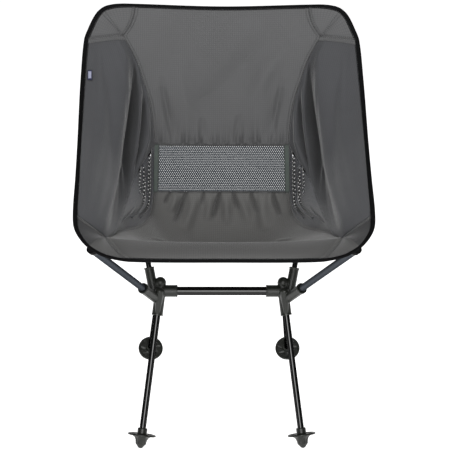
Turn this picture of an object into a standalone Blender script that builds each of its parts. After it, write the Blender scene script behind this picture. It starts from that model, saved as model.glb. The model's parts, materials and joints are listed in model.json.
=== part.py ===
"""Ultralight backpacking chair: pole frame with two hubs and a sewn sling seat.

Metres, +Z up. The sitter faces -Y. Points are written for the right-hand side (+X)
with the crossbar's axis at y = 0, and the empty "chair" moves the whole object so that
the origin is on the ground under the middle of its bounding box.
"""
import math

import bmesh
import bpy
from mathutils import Vector

# ---- driving dimensions -------------------------------------------------------------
HUB_Y = -0.0220            # crossbar axis, from the middle of the bounding box
HUB = Vector((0.1075, 0.0, 0.2475))
FOOT_BALL_R = 0.0062
FOOT_FLAT = 0.0005         # worn flat under each foot, and how far its ball dips
FRONT_FOOT = Vector((0.1405, -0.1104, FOOT_BALL_R - FOOT_FLAT))
REAR_FOOT = Vector((0.1388, 0.2697, FOOT_BALL_R - FOOT_FLAT))
SEAT_TIP = Vector((0.2070, -0.2080, 0.4036))
BACK_TIP = Vector((0.2150, 0.1965, 0.7030))
REAR_SOCKET = HUB + Vector((0.0, 0.004, 0.0141))
BACK_SOCKET = HUB + Vector((0.0120, 0.0, 0.0))
SEAT_SOCKET_DROP = 0.017   # along the front leg, from the hub's centre

CROSSBAR_R = 0.0075
LEG_R = 0.0056
SEAT_POLE_R = 0.0059
BACK_POLE_R = 0.0047
TUBE_WALL = 0.0009
CORD_R = 0.00125
GAP = 0.0003               # clearance between pieces that touch

CLOTH = 0.0012             # thickness of every sewn panel
SEAM = 0.0020              # each panel stops this far short of its seam line
BINDING_R = 0.0030
HEM = BINDING_R + 0.0020   # panels stop this far short of the binding's centre line

ROUND = 16                 # sides of a tube
SOCKET_SIDES = 16

# ---- the sling's seam lines, right-hand side ----------------------------------------
FRONT_CORNER = Vector((0.1862, -0.170, 0.4074))
BACK_CORNER = Vector((0.1746, 0.168, 0.6650))
HEM_CENTRE = Vector((0.0, -0.215, 0.3866))
HEM_END = Vector((0.1500, -0.2215, 0.3902))
TOP_CENTRE = Vector((0.0, 0.183, 0.7113))
TOP_END = Vector((0.1535, 0.186, 0.7148))
LUMBAR_LOW = Vector((0.1211, 0.095, 0.3984))
LUMBAR_HIGH = Vector((0.1188, 0.118, 0.4802))
LUMBAR_DEPTH = 0.011       # the back is this much further back at its middle

SEAT_CENTRE = [HEM_CENTRE, (0, -0.180, 0.404), (0, -0.130, 0.372), (0, -0.050, 0.327),
               (0, 0.010, 0.311), (0, 0.060, 0.325), (0, 0.092, 0.356)]
SEAT_SEAM = [FRONT_CORNER, (0.1788, -0.110, 0.3957), (0.1641, -0.050, 0.3798),
             (0.1448, 0.000, 0.3689), (0.1335, 0.040, 0.3638), (0.1250, 0.078, 0.3700),
             LUMBAR_LOW]
MESH_LINE = [FRONT_CORNER, (0.1752, -0.140, 0.4069), (0.1676, -0.060, 0.4092),
             (0.1631, 0.000, 0.4162), (0.1518, 0.060, 0.4375), LUMBAR_HIGH]
BACK_SEAM = [LUMBAR_HIGH, (0.1263, 0.137, 0.5464), (0.1394, 0.148, 0.5887),
             (0.1530, 0.1560, 0.6265), BACK_CORNER]
BACK_CENTRE = [(0, 0.158, 0.580), TOP_CENTRE]
BACK_CORNER_RISE = 0.78    # of the back's height at its middle, level with the corner seams
FRONT_EDGE = [HEM_END, (0.1778, -0.2255, 0.3966), (0.1945, -0.2265, 0.4042),
              (0.2138, -0.2160, 0.4156), (0.2284, -0.1980, 0.4310), (0.2324, -0.1750, 0.4477)]
SIDE_EDGE = [FRONT_EDGE[-1], (0.2336, -0.1100, 0.4840), (0.2370, 0.0150, 0.5507),
             (0.2386, 0.0950, 0.6010), (0.2372, 0.1620, 0.6585)]
TOP_EDGE = [SIDE_EDGE[-1], (0.2325, 0.1740, 0.6736), (0.2203, 0.1810, 0.6966),
            (0.2078, 0.1835, 0.7085), (0.1930, 0.1850, 0.7132), (0.1740, 0.1860, 0.7150), TOP_END]

# ---- colours (linear), roughness, metallic ------------------------------------------
LOOKS = {
    "gloss_black_tube": ((0.012, 0.012, 0.013), 0.22, 0.6),
    "satin_grey_tube": ((0.055, 0.060, 0.065), 0.38, 0.6),
    "bare_aluminium": ((0.60, 0.60, 0.62), 0.35, 1.0),
    "olive_plastic": ((0.022, 0.024, 0.019), 0.55, 0.0),
    "elastic_cord": ((0.015, 0.015, 0.015), 0.85, 0.0),
    "grey_ripstop": ((0.100, 0.100, 0.100), 0.80, 0.0),
    "grey_mesh": ((0.210, 0.225, 0.250), 0.85, 0.0),
    "black_webbing": ((0.010, 0.010, 0.011), 0.85, 0.0),
    "tag_cloth": ((0.080, 0.110, 0.300), 0.80, 0.0),
}


# ---- scene helpers ------------------------------------------------------------------
for old in list(bpy.data.objects):
    bpy.data.objects.remove(old, do_unlink=True)


def new_collection(name):
    collection = bpy.data.collections.new(name)
    bpy.context.scene.collection.children.link(collection)
    return collection


PARTS = new_collection("backpacking_chair")
CUTTERS = new_collection("cutters")
CHAIR = bpy.data.objects.new("chair", None)
CHAIR.location = (0.0, HUB_Y, 0.0)
PARTS.objects.link(CHAIR)


def material(name):
    if name in bpy.data.materials:
        return bpy.data.materials[name]
    colour, roughness, metallic = LOOKS[name]
    made = bpy.data.materials.new(name)
    made.use_nodes = True
    shader = made.node_tree.nodes["Principled BSDF"]
    shader.inputs["Base Color"].default_value = (*colour, 1.0)
    shader.inputs["Roughness"].default_value = roughness
    shader.inputs["Metallic"].default_value = metallic
    made.diffuse_color = (*colour, 1.0)
    return made


def add_object(name, data, look=None, at=(0, 0, 0), along=None):
    """Link an object under the chair's empty; its local +Z points along `along`."""
    obj = bpy.data.objects.new(name, data)
    obj.location = at
    if along is not None:
        obj.rotation_mode = "QUATERNION"
        obj.rotation_quaternion = Vector(along).to_track_quat("Z", "Y")
    obj.parent = CHAIR
    if look is None:
        CUTTERS.objects.link(obj)
        obj.hide_render = True
        obj.display_type = "WIRE"
    else:
        PARTS.objects.link(obj)
        data.materials.append(material(look))
    return obj


def shade(mesh):
    mesh.shade_smooth()
    mesh.set_sharp_from_angle(angle=math.radians(35))


def cylinder_mesh(name, radius, low, high, sides=SOCKET_SIDES):
    """Closed cylinder on local Z, from z = low to z = high."""
    work = bmesh.new()
    bmesh.ops.create_cone(work, cap_ends=True, segments=sides, radius1=radius,
                          radius2=radius, depth=high - low)
    bmesh.ops.translate(work, verts=work.verts, vec=(0, 0, (low + high) / 2))
    mesh = bpy.data.meshes.new(name)
    work.to_mesh(mesh)
    work.free()
    return mesh


def turned(name, profile, look, at, along, closed=False, sides=ROUND):
    """Turn a profile of (radius, z) points about local Z with a Screw modifier."""
    mesh = bpy.data.meshes.new(name)
    points = [(radius, 0.0, z) for radius, z in profile]
    edges = [(i, i + 1) for i in range(len(points) - 1)]
    if closed:
        edges.append((len(points) - 1, 0))
    mesh.from_pydata(points, edges, [])
    obj = add_object(name, mesh, look, at, along)
    screw = obj.modifiers.new("turn", "SCREW")
    screw.steps = sides
    screw.render_steps = sides
    screw.use_merge_vertices = True
    screw.merge_threshold = 0.0001
    screw.use_smooth_shade = True
    return obj


def tube(name, start, axis, low, high, radius, look, wall=TUBE_WALL):
    """Open-ended round tube on the line start + t * axis, from t = low to t = high."""
    inner = radius - wall
    length = high - low
    profile = [(radius, length), (radius, 0), (inner, 0), (inner, length)]
    return turned(name, profile, look, start + axis * low, axis, closed=True)


def boolean(obj, cutter, operation):
    cut = obj.modifiers.new(cutter.name, "BOOLEAN")
    cut.operation = operation
    cut.solver = "EXACT"
    cut.object = cutter


def mirrored(point, side):
    return Vector((point[0] * side, point[1], point[2]))


SIDES = {"left": -1, "right": 1}


# ---- frame: where each pole runs -----------------------------------------------------
def unit(start, end):
    return (end - start).normalized()


FRONT_LEG_DIR = unit(HUB, FRONT_FOOT)
SEAT_SOCKET = HUB + FRONT_LEG_DIR * SEAT_SOCKET_DROP

# pole: (start, end, tube radius, depth where the tube starts, socket mouth, socket radius)
POLES = {
    "front_leg": (HUB, FRONT_FOOT, LEG_R, 0.018, 0.043, 0.0097),
    "rear_leg": (REAR_SOCKET, REAR_FOOT, LEG_R, 0.029, 0.056, 0.0097),
    "seat_pole": (SEAT_SOCKET, SEAT_TIP, SEAT_POLE_R, 0.046, 0.074, 0.0086),
    "back_pole": (BACK_SOCKET, BACK_TIP, BACK_POLE_R, 0.017, 0.042, 0.0085),
    "crossbar": (HUB, Vector((0, HUB.y, HUB.z)), CROSSBAR_R, 0.0105, 0.030, 0.0105),
}
DOME_R = 0.0103            # round boss over the rear leg's socket
SOCKET_BACK = {"front_leg": -0.008, "rear_leg": -0.003, "seat_pole": 0.0,
               "back_pole": -0.010, "crossbar": 0.0}


def build_hub(label, side):
    """One moulding: five socket barrels joined, a dome, and five blind bores."""
    hub = None
    for pole, (start, end, radius, depth, mouth, outer) in POLES.items():
        start = mirrored(start, side)
        axis = unit(start, mirrored(end, side))
        barrel = cylinder_mesh(f"{pole}_barrel", outer, SOCKET_BACK[pole], mouth)
        if hub is None:
            hub = add_object(f"hub_{label}", barrel, "olive_plastic", start, axis)
        else:
            boolean(hub, add_object(f"{pole}_barrel_{label}", barrel, None, start, axis), "UNION")
    dome = bpy.data.meshes.new("dome")
    work = bmesh.new()
    bmesh.ops.create_uvsphere(work, u_segments=16, v_segments=10, radius=DOME_R)
    work.to_mesh(dome)
    work.free()
    at = mirrored(REAR_SOCKET, side)
    boolean(hub, add_object(f"dome_{label}", dome, None, at), "UNION")
    for pole, (start, end, radius, depth, mouth, outer) in POLES.items():
        start = mirrored(start, side)
        axis = unit(start, mirrored(end, side))
        bore = cylinder_mesh(f"{pole}_bore", radius + GAP, depth - GAP, mouth + 0.01)
        boolean(hub, add_object(f"{pole}_bore_{label}", bore, None, start, axis), "DIFFERENCE")
    return hub


# ---- feet and tips -------------------------------------------------------------------
FOOT_DISC_T = 0.0185       # disc's upper face, up the leg from the ball's centre
FOOT_DISC_R = 0.0243
FOOT_COLLAR_R = 0.0084
FOOT_TOP = 0.0288
FOOT_HOLE = 0.0110         # bottom of the hole that the leg's tube sits in


def foot_profile():
    """Hole, collar, thin disc, bell down to a shoulder, and a round tip."""
    hole = LEG_R + GAP
    ball = [(FOOT_BALL_R * math.cos(a), FOOT_BALL_R * math.sin(a))
            for a in (math.radians(-18), math.radians(-42), math.radians(-66))]
    return [(0, FOOT_HOLE), (hole, FOOT_HOLE), (hole, FOOT_TOP), (0.0073, FOOT_TOP),
            (FOOT_COLLAR_R, FOOT_TOP - 0.0008), (FOOT_COLLAR_R, FOOT_DISC_T + 0.0015),
            (0.0095, FOOT_DISC_T), (FOOT_DISC_R - 0.001, FOOT_DISC_T - 0.0004),
            (FOOT_DISC_R, FOOT_DISC_T - 0.0011), (FOOT_DISC_R - 0.001, FOOT_DISC_T - 0.0019),
            (0.0128, FOOT_DISC_T - 0.0026), (0.0078, 0.0024), (0.0074, -0.0002),
            (0.0066, -0.0010), *ball, (0, -FOOT_BALL_R)]


def build_leg(pole, label, side):
    start, end, radius, depth, mouth, outer = POLES[pole]
    start = mirrored(start, side)
    end = mirrored(end, side)
    axis = unit(start, end)
    length = (end - start).length
    tube_end = length - FOOT_HOLE - GAP
    tube(f"{pole}_{label}", start, axis, depth, tube_end, radius, "gloss_black_tube")
    foot_name = f"foot_{pole.split('_')[0]}_{label}"
    foot = turned(foot_name, foot_profile(), "olive_plastic", end, -axis, sides=20)
    floor = bpy.data.meshes.new("floor")
    work = bmesh.new()
    bmesh.ops.create_cube(work, size=0.08)
    work.to_mesh(floor)
    work.free()
    under = add_object(f"floor_under_{foot_name}", floor, None, (end.x, end.y, -0.04))
    boolean(foot, under, "DIFFERENCE")
    cord = cylinder_mesh("cord", CORD_R, depth + 0.002, tube_end - 0.004, 8)
    add_object(f"shock_cord_{pole}_{label}", cord, "elastic_cord", start, axis)


TIP_PLUG = 0.010           # tip's plug inside the tube
TIP_NOSE = 0.016           # tip's length outside the tube
TIP_R = 0.0050


def build_tip(name, start, end, radius):
    """Plug, shoulder and round nose; the nose's end is at `end`."""
    plug = radius - TUBE_WALL - GAP
    shoulder = TIP_NOSE - 0.003
    profile = [(0, 0), (TIP_R * 0.7, -0.0015), (TIP_R, -0.005), (TIP_R, -shoulder + 0.001),
               (radius, -shoulder), (radius, -TIP_NOSE + GAP), (plug, -TIP_NOSE + GAP),
               (plug, -TIP_NOSE - TIP_PLUG), (0, -TIP_NOSE - TIP_PLUG)]
    turned(name, profile, "olive_plastic", end, unit(start, end), sides=16)


def build_pocket(name, start, end):
    """The sleeve on the sling's corner that the pole's tip sits in, open to the pole."""
    inner = TIP_R + GAP
    outer = inner + 0.0009
    profile = [(0, 0.0018), (outer * 0.7, 0.0010), (outer, -0.0030), (outer, -0.0115),
               (inner, -0.0115), (inner, -0.0040), (inner * 0.75, -0.0003), (0, 0.0005)]
    turned(name, profile, "black_webbing", end, unit(start, end), sides=16)


def build_seat_pole(label, side):
    start, end, radius, depth, mouth, outer = POLES["seat_pole"]
    start = mirrored(start, side)
    end = mirrored(end, side)
    axis = unit(start, end)
    tube_end = (end - start).length - TIP_NOSE
    tube(f"seat_pole_{label}", start, axis, depth, tube_end, radius, "satin_grey_tube")
    cord = cylinder_mesh("cord", CORD_R, depth + 0.002, tube_end - TIP_PLUG - 0.002, 8)
    add_object(f"shock_cord_seat_pole_{label}", cord, "elastic_cord", start, axis)
    build_tip(f"pole_tip_front_{label}", start, end, radius)
    build_pocket(f"corner_pocket_front_{label}", start, end)


BACK_JOINT_T = 0.262       # where the back pole's two sections meet
FERRULE_HALF = 0.030


def build_back_pole(label, side):
    start, end, radius, depth, mouth, outer = POLES["back_pole"]
    start = mirrored(start, side)
    end = mirrored(end, side)
    axis = unit(start, end)
    tube_end = (end - start).length - TIP_NOSE
    look = "gloss_black_tube"
    tube(f"back_pole_lower_{label}", start, axis, depth, BACK_JOINT_T - GAP, radius, look)
    tube(f"back_pole_upper_{label}", start, axis, BACK_JOINT_T, tube_end, radius, look)
    tube(f"back_pole_ferrule_{label}", start, axis, BACK_JOINT_T - FERRULE_HALF,
         BACK_JOINT_T + FERRULE_HALF, radius - TUBE_WALL - GAP, "bare_aluminium")
    cord = cylinder_mesh("cord", CORD_R, depth + 0.002, tube_end - TIP_PLUG - 0.002, 8)
    add_object(f"shock_cord_back_pole_{label}", cord, "elastic_cord", start, axis)
    build_tip(f"pole_tip_back_{label}", start, end, radius)
    build_pocket(f"corner_pocket_back_{label}", start, end)


def build_crossbar():
    start, end, radius, depth, mouth, outer = POLES["crossbar"]
    axis = Vector((1, 0, 0))
    half = HUB.x - depth
    centre = Vector((0, HUB.y, HUB.z))
    tube("crossbar", centre, axis, -half, half, radius, "gloss_black_tube", wall=0.0010)
    cord = cylinder_mesh("cord", CORD_R, -half + 0.002, half - 0.002, 8)
    add_object("shock_cord_crossbar", cord, "elastic_cord", centre, axis)


# ---- sling ---------------------------------------------------------------------------
def curve_point(points, t):
    """Smooth curve through points, at t = 0..1 of its chord length (Catmull-Rom)."""
    points = [Vector(p) for p in points]
    steps = [(b - a).length for a, b in zip(points, points[1:])]
    reach = t * sum(steps)
    i = 0
    while i < len(steps) - 1 and reach > steps[i]:
        reach -= steps[i]
        i += 1
    s = min(max(reach / steps[i], 0.0), 1.0)

    def slope(k):
        if k == 0:
            return (points[1] - points[0]) / steps[0]
        if k == len(points) - 1:
            return (points[-1] - points[-2]) / steps[-1]
        return (points[k + 1] - points[k - 1]) / (steps[k - 1] + steps[k])

    a, b = points[i], points[i + 1]
    ta, tb = slope(i) * steps[i], slope(i + 1) * steps[i]
    return (a * (2 * s**3 - 3 * s**2 + 1) + ta * (s**3 - 2 * s**2 + s)
            + b * (3 * s**2 - 2 * s**3) + tb * (s**3 - s**2))


def chain_point(lines, t):
    """A point at t = 0..1 along several curves that meet end to end with a corner."""
    lengths = [sum((Vector(b) - Vector(a)).length for a, b in zip(line, line[1:]))
               for line in lines]
    reach = t * sum(lengths)
    for line, length in zip(lines, lengths):
        if reach <= length or line is lines[-1]:
            return curve_point(line, reach / length)
        reach -= length


def shell(name, rows, look, thickness=CLOTH):
    """Loft a sheet through rows of points and give it thickness."""
    count = len(rows[0])
    mesh = bpy.data.meshes.new(name)
    faces = [(r * count + c, r * count + c + 1, (r + 1) * count + c + 1, (r + 1) * count + c)
             for r in range(len(rows) - 1) for c in range(count - 1)]
    mesh.from_pydata([tuple(p) for row in rows for p in row], [], faces)
    shade(mesh)
    obj = add_object(name, mesh, look)
    solid = obj.modifiers.new("cloth", "SOLIDIFY")
    solid.thickness = thickness
    solid.offset = 0.0
    solid.use_even_offset = False
    return obj


def inset(start, end, at_start, at_end):
    """The two points moved towards each other by the given lengths."""
    step = unit(start, end)
    return start + step * at_start, end - step * at_end


def crosswise(centre, edge, columns, gap, power=2.0):
    """A symmetric row from -edge to +edge that dips to centre in the middle."""
    reach = 1.0 - gap / edge.x
    row = []
    for c in range(columns + 1):
        u = (2.0 * c / columns - 1.0) * reach
        lift = abs(u) ** power
        row.append(Vector((u * edge.x, centre.y + (edge.y - centre.y) * lift,
                           centre.z + (edge.z - centre.z) * lift)))
    return row


def steps(first, last, count):
    return [first + (last - first) * i / count for i in range(count + 1)]


def lumbar_centre(edge):
    return Vector((0.0, edge.y + LUMBAR_DEPTH, edge.z - 0.0035))


def build_seat_panel():
    """Front lip from the hem to the crest, then the bowl up to the lumbar strip."""
    rows = []
    crest = Vector(SEAT_CENTRE[1])
    for t in steps(0.10, 1.0, 2):
        centre = HEM_CENTRE.lerp(crest, t)
        edge = HEM_END.lerp(FRONT_CORNER, t)
        rows.append(crosswise(centre, edge, 12, SEAM))
    bowl = [crest, *SEAT_CENTRE[2:], lumbar_centre(LUMBAR_LOW)]
    for t in steps(0.12, 0.99, 9):
        rows.append(crosswise(curve_point(bowl, t), curve_point(SEAT_SEAM, t), 12, SEAM))
    shell("seat_panel", rows, "grey_ripstop")


def build_lumbar_mesh():
    rows = []
    for t in steps(0.015, 0.985, 3):
        edge = LUMBAR_LOW.lerp(LUMBAR_HIGH, t)
        rows.append(crosswise(lumbar_centre(edge), edge, 12, SEAM))
    shell("lumbar_mesh", rows, "grey_mesh")


def build_back_panel():
    """Rows up the back seam to the corner patch, then beside the patch to the hem."""
    rows = []
    middle = [lumbar_centre(LUMBAR_HIGH), *BACK_CENTRE]
    for t in steps(0.01, 1.0, 8):
        centre = curve_point(middle, t * BACK_CORNER_RISE)
        rows.append(crosswise(centre, curve_point(BACK_SEAM, t), 12, SEAM))
    low = curve_point(middle, BACK_CORNER_RISE)
    for t in (0.5, 0.92):
        edge = BACK_CORNER.lerp(TOP_END, t)
        rows.append(crosswise(low.lerp(TOP_CENTRE, t), edge, 12, SEAM, power=3.0))
    shell("back_panel", rows, "grey_ripstop")


def build_side(label, side):
    """Outer panel, and the mesh gusset between it and the seat."""
    rows = []
    for t in steps(0.012, 0.985, 14):
        inner = chain_point([MESH_LINE, BACK_SEAM], t)
        inner, outer = inset(inner, curve_point(SIDE_EDGE, t), SEAM, HEM)
        rows.append([mirrored(inner.lerp(outer, c / 6), side) for c in range(7)])
    shell(f"side_panel_{label}", rows, "grey_ripstop")

    rows = []
    for t in steps(0.12, 0.93, 8):
        low = chain_point([SEAT_SEAM, [LUMBAR_LOW, LUMBAR_HIGH]], t)
        low, high = inset(low, curve_point(MESH_LINE, t), SEAM, SEAM)
        rows.append([mirrored(low.lerp(high, c / 3), side) for c in range(4)])
    shell(f"side_mesh_{label}", rows, "grey_mesh")


def build_corner_patch(name, apex, edge_line, side):
    """A fan of cloth from its apex, on the panels' corner, to the rounded edge."""
    rows = []
    for t in steps(0.035, 0.965, 6):
        inner, outer = inset(apex, curve_point(edge_line, t), 0.007, HEM)
        rows.append([mirrored(inner.lerp(outer, c / 3), side) for c in range(4)])
    shell(name, rows, "grey_ripstop")


def build_binding(name, points, count):
    """A round tape along the sling's edge, on a POLY curve."""
    curve = bpy.data.curves.new(name, "CURVE")
    curve.dimensions = "3D"
    curve.bevel_depth = BINDING_R
    curve.bevel_resolution = 2
    curve.use_fill_caps = True
    spline = curve.splines.new("POLY")
    spline.points.add(count)
    for i, t in enumerate(steps(0.004, 0.996, count)):
        spline.points[i].co = (*curve_point(points, t), 1.0)
    add_object(name, curve, "black_webbing")


def across(points):
    """The left half mirrored from the right half, then the right half."""
    half = [Vector(p) for p in points]
    return [mirrored(p, -1) for p in reversed(half)] + [p for p in half if p.x > 0]


def build_sling():
    build_back_panel()
    build_lumbar_mesh()
    build_seat_panel()
    build_binding("binding_bottom", across([HEM_CENTRE, *FRONT_EDGE[:3]]), 20)
    build_binding("binding_top", across([TOP_CENTRE, *reversed(TOP_EDGE[3:])]), 20)
    for label, side in SIDES.items():
        build_side(label, side)
        build_corner_patch(f"corner_patch_front_{label}", FRONT_CORNER, FRONT_EDGE, side)
        build_corner_patch(f"corner_patch_back_{label}", BACK_CORNER, TOP_EDGE, side)
        edge = [*FRONT_EDGE[2:], *SIDE_EDGE[1:], *TOP_EDGE[1:4]]
        build_binding(f"binding_side_{label}", [mirrored(p, side) for p in edge], 32)


# ---- tag -----------------------------------------------------------------------------
TAG_SIZE = (0.0016, 0.009, 0.018)
TAG_AT = Vector((0.2270, 0.0910, 0.6150))


def build_tag():
    """Folded blank tag standing on the left side panel, beside the binding."""
    work = bmesh.new()
    bmesh.ops.create_cube(work, size=1.0)
    bmesh.ops.scale(work, verts=work.verts, vec=TAG_SIZE)
    mesh = bpy.data.meshes.new("label_tag")
    work.to_mesh(mesh)
    work.free()
    add_object("label_tag", mesh, "tag_cloth", mirrored(TAG_AT, -1))


# ---- build ---------------------------------------------------------------------------
build_crossbar()
for LABEL, SIDE in SIDES.items():
    build_hub(LABEL, SIDE)
    build_leg("front_leg", LABEL, SIDE)
    build_leg("rear_leg", LABEL, SIDE)
    build_seat_pole(LABEL, SIDE)
    build_back_pole(LABEL, SIDE)
build_sling()
build_tag()
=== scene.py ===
"""Looks for the ultralight backpacking chair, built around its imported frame.

Metres, +Z up; the sitter faces -Y. Lengths along the frame are read from the CAD nodes.
The sling's seam lines are written for the right-hand side (+X), with the crossbar's axis
at y = 0, and mirrored to the left.
"""
import json
import math

import bmesh
import bpy
import numpy as np
from mathutils import Matrix, Vector


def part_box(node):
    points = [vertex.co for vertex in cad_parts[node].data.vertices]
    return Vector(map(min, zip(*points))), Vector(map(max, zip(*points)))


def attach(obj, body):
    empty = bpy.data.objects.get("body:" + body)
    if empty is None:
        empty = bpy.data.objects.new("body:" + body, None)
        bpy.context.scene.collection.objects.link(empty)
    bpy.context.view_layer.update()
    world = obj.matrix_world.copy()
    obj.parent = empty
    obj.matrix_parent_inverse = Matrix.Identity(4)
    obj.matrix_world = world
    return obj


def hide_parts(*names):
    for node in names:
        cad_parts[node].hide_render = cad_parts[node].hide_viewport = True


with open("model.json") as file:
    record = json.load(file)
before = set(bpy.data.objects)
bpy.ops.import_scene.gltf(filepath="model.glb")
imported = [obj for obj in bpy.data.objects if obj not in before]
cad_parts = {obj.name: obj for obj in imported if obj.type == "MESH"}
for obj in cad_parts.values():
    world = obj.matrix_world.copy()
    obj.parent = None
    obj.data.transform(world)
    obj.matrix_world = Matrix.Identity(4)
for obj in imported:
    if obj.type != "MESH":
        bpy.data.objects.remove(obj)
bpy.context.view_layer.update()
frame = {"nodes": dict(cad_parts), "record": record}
RECORD = frame["record"]
BODY_OF = {node: body for body, nodes in RECORD["behaviour"]["bodies"].items() for node in nodes}

BAR_LOW, BAR_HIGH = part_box("crossbar")
HUB_Y = (BAR_LOW.y + BAR_HIGH.y) / 2
HUB_Z = (BAR_LOW.z + BAR_HIGH.z) / 2
TO_WORLD = np.array((0.0, HUB_Y, 0.0))    # from the sling's own lines to the world

SIDES = {"left": -1, "right": 1}


# ==== Materials =======================================================================
class Nodes:
    """Short hand for building one material's node tree."""

    def __init__(self, name):
        self.material = bpy.data.materials.new(name)
        self.material.use_nodes = True
        self.tree = self.material.node_tree
        self.shader = self.tree.nodes["Principled BSDF"]

    def add(self, kind, settings=None, **inputs):
        node = self.tree.nodes.new(kind)
        for key, value in (settings or {}).items():
            setattr(node, key, value)
        for key, value in inputs.items():
            self.feed(node, key.replace("_", " "), value)
        return node

    def feed(self, node, key, value):
        socket = node.inputs[int(key)] if key.isdigit() else node.inputs[key]
        if isinstance(value, bpy.types.NodeSocket):
            self.tree.links.new(value, socket)
        elif isinstance(value, bpy.types.Node):
            self.tree.links.new(value.outputs[0], socket)
        else:
            socket.default_value = value

    def math(self, operation, a, b=0.0, clamp=False):
        node = self.add("ShaderNodeMath", {"operation": operation, "use_clamp": clamp})
        self.feed(node, "0", a)
        self.feed(node, "1", b)
        return node.outputs[0]

    def mix(self, factor, a, b):
        node = self.add("ShaderNodeMix", {"data_type": "RGBA"})
        self.feed(node, "0", factor)
        self.feed(node, "6", a)
        self.feed(node, "7", b)
        return node.outputs[2]

    def weave_uv(self):
        """u and v in metres along the cloth, from the mesh's own UV map."""
        uv = self.add("ShaderNodeUVMap", {"uv_map": "metres"})
        parts = self.add("ShaderNodeSeparateXYZ", Vector=uv)
        return parts.outputs[0], parts.outputs[1]

    def stripes(self, coordinate, pitch, width):
        """1 on thin lines spaced pitch apart and width wide, else 0."""
        phase = self.math("FRACT", self.math("DIVIDE", coordinate, pitch))
        gap = self.math("ABSOLUTE", self.math("SUBTRACT", phase, 0.5))
        return self.math("GREATER_THAN", gap, 0.5 - width / pitch / 2)

    def waves(self, coordinate, pitch):
        """-1 to 1, once up and down in each pitch."""
        return self.math("SINE", self.math("MULTIPLY", coordinate, 2 * math.pi / pitch))

    def bump(self, height, strength, distance):
        node = self.add("ShaderNodeBump", Strength=strength, Distance=distance, Height=height)
        return node.outputs[0]

    def finish(self, **inputs):
        for key, value in inputs.items():
            self.feed(self.shader, key.replace("_", " "), value)
        return self.material


def rgb(r, g, b):
    return (r, g, b, 1.0)


def shade(colour, factor):
    return rgb(*(channel * factor for channel in colour))


def noise(nodes, scale, detail, roughness=0.55, vector=None):
    node = nodes.add("ShaderNodeTexNoise", Scale=scale, Detail=detail, Roughness=roughness)
    if vector is None:
        vector = nodes.add("ShaderNodeTexCoord").outputs["Object"]
    nodes.feed(node, "Vector", vector)
    return node.outputs[0]


CREASE_REACH = 0.045       # how far away other cloth still shades a crease
RIPSTOP_PITCH = 0.0037     # of the reinforcing grid
RIPSTOP_WARP, RIPSTOP_WEFT = 0.0011, 0.0009    # its lines' widths
THREAD_PITCH = 0.0007


def painted_crease_shade(nodes, colour, base, crease, deep):
    """Painted shade: the colour going over to `deep` times base inside folds and seams, where other
    cloth is near; crease is how fast.
    """
    sky = nodes.add("ShaderNodeAmbientOcclusion", {"samples": 8}, Distance=CREASE_REACH)
    return nodes.mix(nodes.math("POWER", sky.outputs["AO"], crease), shade(base, deep), colour)


def ripstop_material(name, base, tint, crease):
    """Plain-weave nylon with a raised reinforcing grid, faint slubs, a soft sheen and painted shade
    in its folds and seams.
    """
    n = Nodes(name)
    u, v = n.weave_uv()
    grid = n.math("MAXIMUM", n.stripes(u, RIPSTOP_PITCH, RIPSTOP_WARP),
                  n.stripes(v, RIPSTOP_PITCH, RIPSTOP_WEFT))
    threads = n.math("MULTIPLY", n.waves(u, THREAD_PITCH), n.waves(v, THREAD_PITCH))
    cloudy = noise(n, 14.0, 3.0)
    slubs = noise(n, 420.0, 2.0)
    colour = n.mix(cloudy, shade(base, 0.86), shade(tint, 1.14))
    colour = n.mix(n.math("MULTIPLY", grid, 0.55), colour, shade(base, 0.55))
    colour = n.mix(n.math("MULTIPLY", slubs, 0.22), colour, shade(base, 1.35))
    # painted shade inside folds and seams, from how near other cloth is
    colour = painted_crease_shade(n, colour, base, crease, 0.06)
    height = n.math("ADD", n.math("MULTIPLY", grid, 0.7), n.math("MULTIPLY", threads, 0.25))
    normal = n.bump(height, 0.45, 0.00035)
    rough = n.math("ADD", 0.62, n.math("MULTIPLY", slubs, 0.18))
    return n.finish(Base_Color=colour, Roughness=rough, Normal=normal, Sheen_Weight=0.25,
                    Sheen_Roughness=0.45, Specular_IOR_Level=0.35)


def net_material(name, base, crease=0.0):
    """Knitted polyester yarn of the open mesh; crease is the power of the painted shade that deepens
    its colour inside folds.
    """
    n = Nodes(name)
    fibres = noise(n, 1500.0, 2.0)
    colour = n.mix(fibres, shade(base, 0.7), shade(base, 1.35))
    if crease:
        # painted shade inside the net's folds
        colour = painted_crease_shade(n, colour, base, crease, 0.10)
    return n.finish(Base_Color=colour, Roughness=0.7, Normal=n.bump(fibres, 0.4, 0.0002),
                    Sheen_Weight=0.3, Specular_IOR_Level=0.4)


def webbing_material(name, base):
    """Grosgrain tape: fine ribs across its length, worn paler here and there."""
    n = Nodes(name)
    _, v = n.weave_uv()
    ribs = n.waves(v, 0.0011)
    wear = noise(n, 60.0, 4.0)
    colour = n.mix(n.math("MULTIPLY", wear, 0.5), rgb(*base), shade(base, 2.2))
    rough = n.math("ADD", 0.6, n.math("MULTIPLY", wear, 0.25))
    return n.finish(Base_Color=colour, Roughness=rough, Normal=n.bump(ribs, 0.5, 0.0003),
                    Specular_IOR_Level=0.05)


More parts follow.
